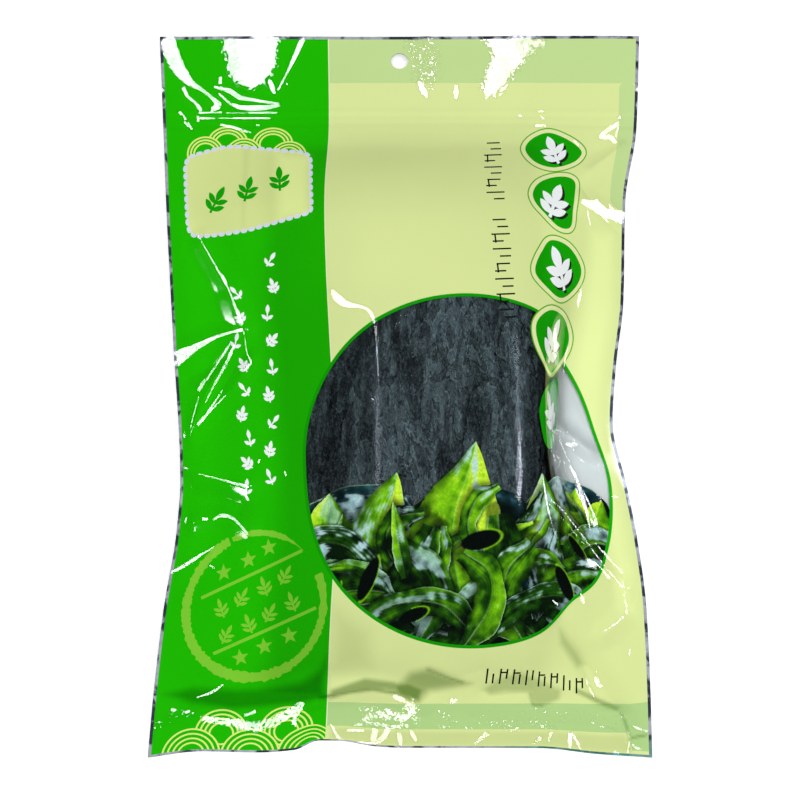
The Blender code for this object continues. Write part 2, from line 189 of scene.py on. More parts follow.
# Small facets of the film that catch a panel: the panel, how soft the edge is
# in millimetres, how densely they lie, and (u, v, width) places.  Their order
# counts, because the first to cover a place most keeps it.
GLINTS = (
    # the crest of the bundle, left
    ("left_low", 0.5, 1.0, ((-27.8, 184.6, 1.2), (-25.8, 181.6, 3.2),
                            (-23, 179.2, 2.6), (-20, 178.4, 1.7),
                            (-17.6, 178.1, 1.0), (-14.4, 177.2, 1.2),
                            (-12.4, 174.9, 1.3), (-11.4, 171.3, 0.9),
                            (-11, 165, 0.5))),
    # upper left corner
    ("header", 1.2, 1.0, ((-96.7, 298, 5.5), (-94.9, 290.7, 5.6),
                          (-92.1, 285, 4.6), (-88.9, 280.5, 3.0),
                          (-86.5, 278.3, 1.8))),
    ("header", 0.3, 1.0, ((-86.8, 279.6, 1.4), (-82.3, 276, 0.8),
                          (-78.2, 272.4, 1.0), (-76.2, 269.8, 2.2))),
    ("header", 0.3, 1.0, ((-85.5, 277.5, 1.2), (-80, 273.5, 0.7),
                          (-77.5, 271.2, 1.8), (-76.2, 269, 3.0),
                          (-79, 267.6, 2.0))),
    ("header", 0.3, 1.0, ((-90.9, 277.4, 1.4), (-89.2, 273.4, 1.4),
                          (-86.2, 270.9, 0.9), (-84.9, 269.2, 1.5),
                          (-83.8, 267.2, 1.3))),
    ("header", 0.3, 1.0, ((-77.8, 277.7, 0.8), (-71.4, 275.9, 2.2),
                          (-67.2, 272.8, 2.0), (-59.7, 271.4, 1.2),
                          (-51.2, 270.2, 0.9))),
    ("header", 0.3, 1.0, ((-76, 274.6, 0.8), (-71.5, 270.2, 0.9),
                          (-67.3, 268.5, 2.0), (-62, 268, 2.6),
                          (-56, 268.3, 2.4), (-51, 269.2, 1.5))),
    ("header", 0.3, 1.0, ((-64.5, 281.6, 1.6), (-63, 278.8, 2.0),
                          (-62.4, 277.2, 0.8))),
    ("header", 0.3, 1.0, ((-54.4, 280, 1.8), (-53.4, 277, 2.0),
                          (-52.6, 274.6, 0.8))),
    ("header", 0.3, 1.0, ((-75.1, 281.8, 1.4), (-75.4, 279, 1.2))),
    ("header", 0.3, 1.0, ((-40.2, 299, 2.2), (-44.2, 290.1, 1.7),
                          (-47.6, 282.9, 0.7), (-51.1, 276.2, 0.7))),
    ("header", 0.3, 1.0, ((-49.3, 280, 1.1), (-49.5, 279.2, 0.9))),
    ("header", 0.3, 1.0, ((-47.4, 279, 0.6), (-46.9, 278.4, 0.5))),
    ("header", 4.0, 1.0, ((-62, 299.8, 20), (-62, 290, 18),
                          (-62.6, 286, 15))),
    # the zip, left
    ("header", 0.25, 1.0, ((-84.7, 266.2, 0.6), (-75, 266.1, 0.6))),
    ("header", 0.2, 1.0, ((-73, 266, 0.25), (-65, 265.9, 0.35))),
    ("header", 0.25, 1.0, ((-63.6, 265.9, 0.8), (-51.7, 265.8, 0.7))),
    ("header", 0.25, 1.0, ((-84.8, 263.8, 1.0), (-78, 263.7, 0.9))),
    ("header", 0.2, 1.0, ((-77, 263.7, 0.3), (-71, 263.6, 0.3))),
    ("header", 0.25, 1.0, ((-70.4, 263.6, 0.6), (-62, 263.5, 0.9),
                           (-54.7, 263.4, 0.7))),
    ("header", 0.3, 1.0, ((-75.5, 260.8, 0.9), (-70.4, 259.6, 1.2),
                          (-62.8, 256.9, 0.7))),
    ("header", 0.3, 1.0, ((-92.8, 266.8, 1.2), (-92, 265.6, 0.9))),
    ("header", 0.2, 1.0, ((-91.2, 265, 0.6), (-90.3, 263.3, 0.8))),
    ("header", 0.2, 1.0, ((-90.8, 262.4, 0.8), (-89.4, 260.2, 0.5))),
    ("header", 0.2, 1.0, ((-89.5, 262, 0.6), (-87.8, 259, 0.8))),
    ("header", 0.2, 1.0, ((-85.2, 264.8, 0.8), (-85.1, 262.2, 1.0))),
    ("header", 0.2, 1.0, ((-60.8, 260.4, 0.7), (-59, 260.2, 0.6))),
    # the header, right
    ("header", 4.5, 1.0, ((46, 299.8, 19), (46.3, 294, 12),
                          (44, 287, 7), (40.5, 281, 6),
                          (38.9, 277.8, 5))),
    ("header", 4.0, 0.7, ((45, 293, 5), (53, 294, 3), (57, 297, 3))),
    ("header", 6.0, 0.36, ((9, 297, 8), (10.4, 290, 6), (11, 281, 3))),
    ("header", 0.4, 1.0, ((38.9, 277.8, 3.0), (37.2, 274.8, 2.2),
                          (36.2, 272, 0.8))),
    ("header", 0.3, 1.0, ((8.1, 279.5, 1.0), (9.2, 276.8, 2.4),
                          (10.6, 274.2, 2.0), (11.4, 272.6, 0.8))),
    ("header", 0.3, 1.0, ((23.6, 278.2, 1.0), (23.6, 275, 2.2),
                          (23.6, 272.2, 1.2))),
    ("header", 0.3, 1.0, ((57.3, 259.7, 1.2), (61.1, 259.9, 1.0))),
    ("header", 0.2, 1.0, ((50, 264, 1.0), (50.9, 264.3, 0.9))),
    ("header", 0.2, 1.0, ((58.4, 266.2, 0.8), (60.2, 266.3, 0.5))),
    ("header", 0.2, 1.0, ((59, 264.4, 0.5), (60.4, 262.7, 0.5))),
    ("right_low", 0.2, 1.0, ((92, 264.2, 1.1), (93, 264.1, 1.0))),
    ("right_low", 0.3, 1.0, ((84.5, 255.6, 1.0), (88, 258.6, 1.8),
                             (92.1, 261.3, 1.7))),
    ("right_low", 0.3, 1.0, ((85.0, 255.4, 1.8), (89.4, 255.4, 1.9),
                             (92.2, 251.8, 1.4))),
    ("right_low", 0.2, 1.0, ((92.3, 260.5, 0.9), (91.4, 255.6, 0.8))),
    ("right_low", 0.2, 1.0, ((73.6, 253.2, 0.6), (75.4, 251.4, 0.8))),
    # left side, upper star of creases
    ("left_low", 0.25, 1.0, ((-86, 212.5, 0.2), (-78.1, 198.4, 0.45),
                             (-75.5, 194, 0.6))),
    ("left_low", 0.3, 1.0, ((-75, 193.8, 0.9), (-73.4, 190.8, 1.5),
                            (-72.9, 189.4, 0.7))),
    ("left_low", 0.25, 1.0, ((-72.6, 188.8, 0.3), (-70.5, 183.7, 0.6),
                             (-68.2, 177, 0.9), (-66.8, 172.6, 0.9))),
    ("left_low", 0.5, 1.0, ((-100, 160.5, 6), (-95, 162.6, 4.4),
                            (-90, 164.7, 2.8), (-83, 167.3, 1.7),
                            (-78, 168.8, 1.1), (-71, 170.2, 0.8),
                            (-66.4, 170.7, 1.3))),
    ("left_low", 0.25, 1.0, ((-73.1, 165.5, 0.4), (-79.3, 158.5, 0.6),
                             (-85.2, 151.6, 0.7))),
    ("left_low", 0.3, 1.0, ((-86, 151.6, 0.9), (-87.9, 149.2, 1.6),
                            (-89.3, 147.4, 1.2))),
    ("left_low", 0.3, 1.0, ((-71.4, 164.4, 1.0), (-74, 160, 1.4),
                            (-76.6, 155.9, 1.3), (-82, 148.5, 0.8),
                            (-86.3, 142.2, 0.35))),
    ("left_low", 0.25, 1.0, ((-77.8, 147.1, 0.35), (-82.5, 141.6, 0.6),
                             (-86.7, 136.8, 0.9))),
    ("left_low", 0.25, 1.0, ((-76.6, 144.6, 0.35), (-83.1, 139.6, 0.6),
                             (-87, 136.4, 0.9))),
    ("left_low", 0.3, 1.0, ((-87.6, 136, 1.5), (-90.8, 133.3, 1.1))),
    ("left_low", 0.2, 1.0, ((-66.4, 170.4, 0.4), (-65.8, 161.5, 0.35),
                            (-63.9, 157.3, 0.8), (-67.2, 154.3, 0.4))),
    ("left_low", 0.2, 0.95, ((-89.5, 144.8, 0.35), (-91.9, 138.8, 0.3),
                             (-94.3, 132.4, 0.3))),
    # left side, lower
    ("left_low", 0.25, 1.0, ((-91.1, 113.7, 0.35), (-81.5, 111.5, 0.45),
                             (-73.5, 109.4, 0.9), (-69.4, 108.4, 1.2),
                             (-67.6, 107.8, 0.5))),
    ("left_low", 0.25, 1.0, ((-62.6, 119, 0.6), (-63.6, 117.5, 0.8))),
    ("left_low", 0.25, 1.0, ((-51.9, 113.7, 0.6), (-51.5, 112.1, 0.7))),
    ("left_low", 0.3, 1.0, ((-88.1, 95.7, 1.2), (-85.6, 95.6, 0.8))),
    ("left_low", 0.3, 1.0, ((-83, 95.3, 0.6), (-79.4, 97.2, 1.4),
                            (-74.6, 96.2, 1.0), (-70.2, 92.8, 0.7),
                            (-67.6, 90.2, 1.0), (-66.9, 89.2, 0.6))),
    ("left_low", 0.3, 1.0, ((-99.5, 74.5, 1.0), (-94.2, 77.1, 1.2),
                            (-88.4, 80.7, 1.2), (-85.8, 82.2, 0.7),
                            (-81.6, 84.6, 0.35))),
    ("left_low", 0.2, 1.0, ((-82.7, 77.5, 0.5), (-80.2, 76.3, 0.6))),
    # foot, left
    ("foot", 0.25, 1.0, ((-82, 24, 0.3), (-76.4, 26, 0.9), (-71.7, 29.4, 0.6))),
    ("foot", 0.3, 1.0, ((-91.9, 19.1, 1.3), (-90.3, 18.7, 0.9))),
    ("foot", 0.3, 1.0, ((-86.3, 17.6, 0.8), (-84.6, 18.2, 0.7))),
    ("foot", 0.3, 1.0, ((-62.6, 16.4, 1.0), (-58.2, 18.2, 1.2))),
    ("foot", 1.9, 0.95, ((-78.6, 15, 0.8), (-68.1, 13.3, 2.0),
                         (-58, 11.4, 2.6), (-50.2, 14, 2.6), (-41, 20, 2.2))),
    ("foot", 1.2, 0.9, ((-41.8, 17.5, 1.8), (-42.6, 12.5, 1.2))),
    ("foot", 1.4, 0.16, ((-97, 13, 3), (-92, 16, 3), (-84, 18, 2))),
    ("foot", 0.3, 1.0, ((-27.7, 10.1, 0.6), (-24.1, 1.4, 1.6))),
    ("foot", 0.3, 1.0, ((-24.6, 0.8, 1.2), (-21.5, 0.8, 0.7))),
    ("foot", 0.3, 1.0, ((-21.3, 7.0, 1.2), (-18, 7.6, 1.5), (-14.9, 7.9, 0.9))),
    ("foot", 0.3, 0.7, ((-19.4, 10.5, 1.0), (-15.5, 10.9, 1.0))),
    ("foot", 0.9, 0.55, ((-17, 18, 1.2), (-10.4, 18.6, 1.6))),
    ("foot", 2.6, 0.8, ((-14.6, 14, 0.6), (-11, 15.6, 1.4), (-5, 16.6, 2.4),
                        (0.5, 15, 1.6), (3.6, 15.4, 0.6))),
    ("foot", 0.8, 0.85, ((-14, 12.2, 0.8), (-4, 10.6, 1.2), (2.5, 11, 0.8))),
    ("foot", 0.3, 1.0, ((-3.5, 24.9, 1.5), (-0.4, 23.2, 2.2))),
    ("foot", 0.3, 1.0, ((-10.2, 9.0, 2.6), (-10.5, 5, 2.6), (-10.4, 1.4, 2.0))),
    ("foot", 0.3, 1.0, ((-5.1, 9.3, 2.2), (-6.4, 6, 2.0), (-8.4, 2.8, 2.0),
                        (-12, 1.2, 1.4), (-16.9, 0.9, 0.7))),
    ("foot", 0.3, 1.0, ((-0.7, 7.6, 1.2), (-0.1, 4.4, 2.0), (0.4, 1.2, 1.2))),
    # foot, right
    ("foot", 1.6, 0.85, ((0.8, 22.0, 1.2), (3.0, 19.6, 2.4), (4.6, 17.3, 1.4))),
    ("foot", 1.6, 0.5, ((4.4, 23, 1.0), (6.0, 17, 2.0), (6, 12, 1.0))),
    ("foot", 0.3, 1.0, ((4.1, 8.9, 0.8), (5.2, 6, 1.9), (6.2, 3.9, 1.0))),
    ("foot", 0.3, 1.0, ((19.0, 22.6, 1.8), (21.7, 22.6, 1.2))),
    ("foot", 1.4, 0.35, ((15.7, 17.3, 1.2), (18.1, 15.0, 1.6), (21.0, 12.7, 1))),
    ("foot", 0.8, 0.6, ((15.5, 10.6, 0.7), (19.1, 10.4, 0.7))),
    ("foot", 0.8, 0.6, ((25.0, 10.6, 0.8), (30.2, 10.4, 0.6))),
    ("foot", 1.4, 0.32, ((34.5, 13.2, 1.2), (39.3, 11.3, 1.8), (46.5, 9.6, 1.6))),
    ("foot", 1.2, 0.40, ((50.4, 13.2, 1.0), (55.2, 11.8, 1.4), (61.6, 10.1, 0.8))),
    ("foot", 1.6, 0.06, ((30, 16, 5), (60, 16, 5), (88, 15, 4))),
    ("foot", 0.8, 0.5, ((80.0, 11.8, 0.7), (85.6, 11, 0.5))),
    ("foot", 0.25, 0.9, ((92.4, 12.3, 0.7), (98.4, 10.4, 0.6))),
    ("foot", 0.3, 1.0, ((29.6, 2.2, 0.7), (31.8, 4.8, 1.2), (34.2, 7.5, 1.8))),
    ("foot", 0.3, 1.0, ((53.0, 2.5, 0.7), (55.7, 5.6, 1.8))),
    ("foot", 0.25, 1.0, ((58.9, 3.7, 0.5), (59.8, 8.2, 0.8))),
    ("foot", 0.25, 1.0, ((67.6, 8.2, 1.9), (67.2, 4, 1.2), (67.2, 1.2, 0.8))),
    ("foot", 0.25, 1.0, ((68.8, 7.4, 0.9), (70.4, 4, 1.2), (71.4, 1.2, 0.6))),
    # lines over the picture's right end
    ("right_low", 0.3, 1.0, ((78.4, 117, 1.4), (79.5, 111.4, 1.8), (80.4, 104, 2.0),
                             (80.6, 97, 1.4), (80.3, 91, 0.5))),
    ("right_low", 0.2, 0.8, ((56.1, 102.6, 0.4), (66.1, 98.2, 0.5), (73.9, 90.5, 0.6),
                             (81.6, 79.5, 0.5), (91.5, 67.5, 0.4))),
    ("right_low", 0.2, 0.6, ((54.9, 101.0, 0.4), (66.7, 93.5, 0.5), (74.6, 85.8, 0.4))),
    ("right_low", 0.2, 0.9, ((81.3, 86.2, 0.4), (86.5, 79.5, 0.8), (91.5, 74.3, 0.4))),
    ("right_low", 0.2, 0.7, ((65.1, 118.7, 0.4), (60.2, 115.2, 0.5),
                             (61.5, 111.4, 0.4))),
    ("right_low", 0.4, 0.45, ((86.4, 105.6, 1.2), (88.2, 103.6, 1.6))),
    # right side
    ("right_low", 0.2, 1.0, ((70.6, 131.3, 0.5), (66.3, 127.4, 0.35),
                             (69.8, 122.6, 0.4))),
    ("right_low", 0.2, 1.0, ((73.6, 131.2, 0.35), (80.7, 130.4, 0.3))),
    ("right_low", 0.2, 0.8, ((67.5, 130.7, 0.5), (63.1, 126.4, 0.4),
                             (62.5, 121.7, 0.5), (66.1, 118.0, 0.3))),
    ("right_low", 0.2, 0.9, ((72.1, 131.9, 0.5), (75.2, 127.3, 0.4),
                             (76.5, 124.2, 0.6), (78.4, 119, 0.4))),
    ("right_low", 0.2, 0.8, ((78.0, 129.5, 0.3), (80.9, 125.1, 0.5),
                             (82.5, 121.5, 0.3))),
    ("right_low", 0.3, 1.0, ((78.8, 125.9, 1.4), (81.5, 125.8, 2.0),
                             (83.8, 125.7, 0.8))),
    ("right_low", 0.2, 1.0, ((63.1, 120.2, 0.3), (69, 120.9, 0.4),
                             (72.5, 118.8, 0.4), (66, 115, 0.3))),
    ("right_low", 0.2, 1.0, ((92.8, 104.7, 0.6), (94.9, 104.7, 0.5))),
    ("right_low", 0.3, 1.0, ((56.6, 63.5, 0.6), (59, 61.9, 0.9))),
    ("right_low", 0.3, 1.0, ((70.1, 66, 0.8), (70.9, 64.2, 1.8),
                             (71.7, 62.2, 0.9))),
    ("right_low", 0.3, 0.8, ((91.1, 71.1, 0.5), (90.9, 65.1, 0.5),
                             (91.7, 59.9, 0.6), (91, 57.6, 1.0),
                             (86.4, 53.9, 0.9), (81.5, 51.1, 0.4))),
    ("right_low", 0.2, 1.0, ((84.4, 83, 0.35), (91, 74.3, 0.35))),
    ("right_low", 0.2, 1.0, ((92.2, 43.6, 0.5), (92.1, 41.2, 0.6))),
    ("right_low", 0.3, 1.0, ((78.4, 34.6, 0.5), (78.2, 31.6, 1.4),
                             (78.8, 29.2, 2.6), (80.6, 28.5, 0.9))),
    ("right_low", 0.2, 0.8, ((87.3, 18.7, 0.4), (90.0, 13.5, 0.5),
                             (91.5, 7.4, 0.5), (90.2, 1.2, 0.4))),
    ("right_low", 0.8, 1.0, ((79, 224.6, 1.4), (85.1, 223.6, 4.2),
                             (90.2, 221.2, 3.2), (99.4, 220.4, 4.6))),
    ("right_low", 0.2, 1.0, ((80.9, 221, 0.5), (82.6, 215.6, 0.4))),
    ("right_low", 0.3, 1.0, ((85.6, 226.6, 0.6), (88, 221, 1.2),
                             (91.6, 217.6, 0.7))),
    ("right_low", 0.3, 1.0, ((92, 225, 0.5), (95.6, 221, 1.4),
                             (98.6, 218, 1.2))),
)


def curve(points, at):
    """A smooth curve through points that never overshoots them."""
    x, y = (np.array(c, float) for c in zip(*points))
    step = np.diff(x)
    rise = np.diff(y) / step
    slope = np.zeros_like(y)
    same = rise[:-1] * rise[1:] > 0
    slope[1:-1][same] = (2 * rise[:-1] * rise[1:])[same] / (
        rise[:-1] + rise[1:])[same]
    slope[0], slope[-1] = rise[0], rise[-1]
    at = np.clip(at, x[0], x[-1])
    i = np.clip(np.searchsorted(x, at, side="right") - 1, 0, len(step) - 1)
    t = (at - x[i]) / step[i]
    return (y[i] * (1 + 2 * t) * (1 - t) ** 2 + y[i + 1] * t * t * (3 - 2 * t)
            + step[i] * t * (1 - t) * (slope[i] * (1 - t) - slope[i + 1] * t))


def ease(t):
    t = np.clip(t, 0.0, 1.0)
    return t * t * (3 - 2 * t)


def mix(a, b, share):
    return a + (b - a) * share


def unit(vectors):
    vectors = np.asarray(vectors, float)
    return vectors / np.linalg.norm(vectors, axis=-1, keepdims=True)


def in_box(u, v, low, high):
    """Which of the places lie between two corners, by number."""
    return np.flatnonzero((u > low[0]) & (u < high[0])
                          & (v > low[1]) & (v < high[1]))


def stepped(values, at):
    """The values of a path's places, or a ramp's, read at steps between them."""
    whole = np.arange(len(values))
    if np.ndim(values) == 1:
        return np.interp(at, whole, values)
    return np.stack([np.interp(at, whole, column) for column in values.T], axis=1)


def near_path(path, u, v):
    """Distance to a path, side of it, and how far along in path steps."""
    nearest, sign, step = np.full(u.shape, 1e9), np.ones(u.shape), np.zeros(u.shape)
    for i, (a, b) in enumerate(zip(path, path[1:])):
        way = b - a
        t = np.clip(((u - a[0]) * way[0] + (v - a[1]) * way[1]) / (way @ way), 0, 1)
        du, dv = u - a[0] - t * way[0], v - a[1] - t * way[1]
        gap = np.hypot(du, dv)
        closer = gap < nearest
        nearest[closer] = gap[closer]
        sign[closer] = np.sign(way[0] * dv - way[1] * du)[closer]
        step[closer] = i + t[closer]
    return nearest, sign, step


def smoothed(grid, radius, axis):
    """Three passes of a running mean, with the ends held."""
    for _ in range(3):
        pads = [(0, 0), (0, 0)]
        pads[axis] = (radius + 1, radius)
        total = np.cumsum(np.pad(grid, pads, mode="edge"), axis=axis)
        span = 2 * radius + 1
        upper = np.take(total, np.arange(span, total.shape[axis]), axis=axis)
        lower = np.take(total, np.arange(0, total.shape[axis] - span),
                        axis=axis)
        grid = (upper - lower) / span
    return grid


# ------------------------------------------------- tables over the flat film
CELL = 0.5
COLUMNS = round(FILM_W / CELL) + 1
ROWS = round(FILM_L / CELL) + 1
ACROSS = np.linspace(-HALF_W, HALF_W, COLUMNS)
ALONG = np.linspace(0, FILM_L, ROWS)
U, V = np.meshgrid(ACROSS, ALONG)


def draped():
    """Place across and height of the smooth film over the bundle."""
    rows, columns = 151, 401
    v = np.linspace(0, FILM_L, rows)
    left, right = -curve(LEFT_EDGE, v), curve(RIGHT_EDGE, v)
    x = left[:, None] + (right - left)[:, None] * np.linspace(0, 1, columns)
    rails = [[curve([(v, h) for v, _, h in rail], v) for rail in RAILS],
             [curve([(v, x) for v, x, _ in rail], v) for rail in RAILS]]
    seams = curve(LEFT_SEAM, v), curve(RIGHT_SEAM, v)
    height = np.empty_like(x)
    for row in range(rows):
        knots = [(left[row], seams[0][row])]
        knots += [(p[row], h[row]) for h, p in zip(*rails)]
        knots.append((right[row], seams[1][row]))
        height[row] = curve(knots, x[row])
    height = smoothed(smoothed(height, 5, 1), 2, 0)
    run = np.hypot(np.diff(x, axis=1), np.diff(height, axis=1))
    arc = np.concatenate([np.zeros((rows, 1)), np.cumsum(run, axis=1)], axis=1)
    flat_u = arc / arc[:, -1:] * FILM_W - HALF_W
    tables = []
    for values in (x, height):
        over_u = np.array([np.interp(ACROSS, flat_u[i], values[i])
                           for i in range(rows)])
        over_v = np.array([np.interp(ALONG, v, over_u[:, j])
                           for j in range(COLUMNS)]).T
        tables.append(smoothed(over_v, 3, 0))
    return tables


def away_from(path):
    """The film's distance to a path, and the share of its length passed."""
    path = np.array(path, float)
    nearest, _, step = near_path(path, U, V)
    run = np.concatenate([[0], np.cumsum(np.hypot(*np.diff(path, axis=0).T))])
    return nearest, stepped(run / run[-1], step)


def main_folds():
    """Relief of the main folds; where two cross, the stronger one counts."""
    ridge, valley = np.zeros_like(U), np.zeros_like(U)
    for height, half, path in FOLDS:
        away = np.minimum(away_from(path)[0] / half, 1)
        part = height * (1 - away) ** 2 * (1 + away)
        ridge, valley = np.maximum(ridge, part), np.minimum(valley, part)
    return ridge + valley


def sharp_creases():
    relief = np.zeros_like(U)
    for height, half, (start, end), path in CREASES:
        gap, share = away_from(path)
        away = np.minimum(gap / half, 1)
        relief += height * mix(start, end, share) * (1 - away) ** 2
    return relief


def crumple(cell, seed):
    """Flat facets between random heights, for film that was crumpled."""
    draw = np.random.default_rng(seed)
    us = np.arange(-HALF_W - cell, HALF_W + 2 * cell, cell)
    vs = np.arange(-cell, FILM_L + 2 * cell, cell)
    flat = np.array([(u, v) for v in vs for u in us])
    flat += draw.uniform(-0.45, 0.45, flat.shape) * cell
    high = draw.uniform(-1, 1, len(flat))
    verts, _, faces, origin, _, _ = delaunay_2d_cdt(
        [Vector(p) for p in flat], [], [], 0, 1e-6)
    relief = np.zeros_like(U)
    for face in faces:
        p = [verts[i] for i in face]
        h = [high[origin[i][0]] for i in face]
        low_u = min(q.x for q in p)
        low_v = min(q.y for q in p)
        i0 = max(int((low_u + HALF_W) / CELL), 0)
        j0 = max(int(low_v / CELL), 0)
        i1 = int((max(q.x for q in p) + HALF_W) / CELL) + 2
        j1 = int(max(q.y for q in p) / CELL) + 2
        part = (slice(j0, j1), slice(i0, i1))
        u, v = U[part], V[part]
        if not u.size:
            continue
        area = ((p[1].y - p[2].y) * (p[0].x - p[2].x)
                + (p[2].x - p[1].x) * (p[0].y - p[2].y))
        a = ((p[1].y - p[2].y) * (u - p[2].x)
             + (p[2].x - p[1].x) * (v - p[2].y)) / area
        b = ((p[2].y - p[0].y) * (u - p[2].x)
             + (p[0].x - p[2].x) * (v - p[2].y)) / area
        c = 1 - a - b
        inside = (a >= 0) & (b >= 0) & (c >= 0)
        relief[part][inside] = (a * h[0] + b * h[1] + c * h[2])[inside]
    return relief


def swell(scale_u, scale_v, seed):
    """Soft random waves of about these lengths, from -1 to 1."""
    draw = np.random.default_rng(seed)
    shape = (int(FILM_L / scale_v) + 3, int(FILM_W / scale_u) + 3)
    coarse = draw.uniform(-1, 1, shape)
    at_u = np.linspace(0, shape[1] - 1, COLUMNS)
    at_v = np.linspace(0, shape[0] - 1, ROWS)
    wide = np.array([np.interp(at_u, np.arange(shape[1]), row)
                     for row in coarse])
    full = np.array([np.interp(at_v, np.arange(shape[0]), column)
                     for column in wide.T]).T
    full = smoothed(full, max(int(scale_u / CELL / 3), 1), 1)
    return smoothed(full, max(int(scale_v / CELL / 3), 1), 0)


def blob(u, v, half_u, half_v):
    """1 in the middle of an oval and 0 at its edge."""
    return ease(1 - np.hypot((U - u) / half_u, (V - v) / half_v))


def zip_relief():
    tape = ZIP_TAPE_T / 4 * ease((V - ZIP_LOW) / 2) * ease((ZIP_HIGH - V) / 2)
    rails = sum(ease(1 - np.abs(V - rail) / RAIL_HALF) for rail in ZIP_RAILS)
    return tape + RAIL_H * rails


def film_heights(base):
    """Height of the front and the back film, as in the solid, with creases."""
    inward = np.minimum(np.minimum(HALF_W - np.abs(U), V), FILM_L - V)
    folds = main_folds() * ease((inward + FOLD_FADE) / (SEAL_W + FOLD_FADE))
    fine = sharp_creases()
    loose = np.clip(sum(share * blob(*oval) for share, *oval in LOOSE), 0, 1)
    fine += loose * sum(height * crumple(cell, SEED + i)
                        for i, (height, cell) in enumerate(CRUMPLES))
    fine += WAVE_H * swell(9, 40, SEED + 2)
    front = base + folds + fine * ease((inward + 2) / 6)
    front = np.maximum(front, 2 * SEAL_T)
    rise = np.maximum(1 - ease((inward - SEAL_W) / FLANK_W),
                      ease((V - BACK_TOP_V) / (ZIP_LOW - 2 - BACK_TOP_V)))
    rise = np.maximum(rise, ease((BACK_BOTTOM_V - V) / (BACK_BOTTOM_V - SEAL_W)))
    left, right = curve(LEFT_SEAM, ALONG)[:, None], curve(RIGHT_SEAM, ALONG)[:, None]
    seam = left + (right - left) * (U + HALF_W) / FILM_W
    back = np.minimum(seam * rise ** 1.6, front) - SEAL_T
    header = ease((V - ZIP_LOW + 6) / 6)
    sealed = 1 - ease((inward - SEAL_W + 2) / 4)
    back = mix(back, front - SEAL_T, header)
    back = mix(back, front - SEAL_T, sealed)
    relief = zip_relief() * ease((inward - 1) / SEAL_W)
    return front + relief, np.maximum(back - relief, 0.0)


class Sheet:
    """A film in space, read at any flat place."""

    def __init__(self, x, y, z):
        self.place = np.stack([x, y, z], axis=-1)
        self.across = unit(np.gradient(self.place, axis=1))
        self.along = unit(np.gradient(self.place, axis=0))
        self.normal = unit(np.cross(self.across, self.along))

    @staticmethod
    def read(table, u, v):
        a = np.clip((u + HALF_W) / CELL, 0, COLUMNS - 1.001)
        b = np.clip(v / CELL, 0, ROWS - 1.001)
        i, j = a.astype(int), b.astype(int)
        s, t = a - i, b - j
        if table.ndim == 3:
            s, t = s[:, None], t[:, None]
        return mix(mix(table[j, i], table[j, i + 1], s),
                   mix(table[j + 1, i], table[j + 1, i + 1], s), t)

    def at(self, u, v, lift=0.0):
        """Places and normals, lift millimetres off the sheet."""
        normal = unit(self.read(self.normal, u, v))
        return self.read(self.place, u, v) + normal * lift, normal

    def frame(self, u, v):
        """Place, and square unit vectors across, along and out of the sheet."""
        normal = unit(self.read(self.normal, u, v))
        along = unit(np.cross(normal, self.read(self.across, u, v)))
        return self.read(self.place, u, v), np.cross(along, normal), along, normal


def laid_film():
    x, base = draped()
    pull = curve(BOTTOM_EDGE, ACROSS) * np.exp(-V / PULL_REACH)
    y = V * LAID_L / FILM_L - LAID_L / 2 + pull
    front, back = film_heights(base)
    return Sheet(x, y, front), Sheet(x, y, back)


FRONT, BACK = laid_film()


# -------------------------------------------------------------------- glints
STEEPEST = 0.85                  # slope of the steepest facet
FACET_STEP = 1.5                 # length of a facet along its line
FACET_RETURN = 2.5               # how far the film takes to lie flat again
FACET_RISE = 0.3
AIM_REACH = 0.4                  # share of a panel that its facets aim at
SPECKLED = 0.7                   # softer edges than this break up in specks
SPECK_STEP = 0.42
SPECK = 0.6
BETWEEN_SPECKS = 0.25            # share of the tilt that is kept between specks


def specks(u, v):
    """A random value, 0 to 1, for each small uneven cell of the film."""
    a = np.floor((u + 0.4 * np.sin(2.3 * v) + 0.2 * v) / SPECK)
    b = np.floor((v + 0.4 * np.sin(1.9 * u) - 0.2 * u) / SPECK)
    return np.mod(np.sin(12.9898 * a + 78.233 * b) * 43758.5453, 1.0)


def panel_frame(name):
    """A panel's middle and its axes across, along and out, in metres."""
    across, along = PANELS[name][:2]
    back = unit(np.array([math.tan(math.radians(across)),
                          math.tan(math.radians(along)), 1.0]))
    side = unit(np.cross((0.0, 1.0, 0.0), back))
    return back * LIGHTS_FAR, side, np.cross(back, side), back


def film_tilt(u, v, name):
    """Slopes across and along the film that mirror a panel to the camera."""
    place, across, along, normal = FRONT.frame(u, v)
    place = place * MM
    seen = unit(CAMERA_AT - place)
    mirror = 2 * (seen * normal).sum(axis=1, keepdims=True) * normal - seen
    middle, side, length, _ = panel_frame(name)
    reach = place + mirror * LIGHTS_FAR - middle
    aim = middle
    for axis, size in zip((side, length), PANELS[name][2:4]):
        far = AIM_REACH * size
        aim = aim + np.clip(reach @ axis, -far, far)[:, None] * axis
    half = seen + unit(aim - place)
    rise = (half * normal).sum(axis=1)
    slopes = [-(half * way).sum(axis=1) / rise for way in (across, along)]
    return np.clip(np.stack(slopes, axis=1), -STEEPEST, STEEPEST)


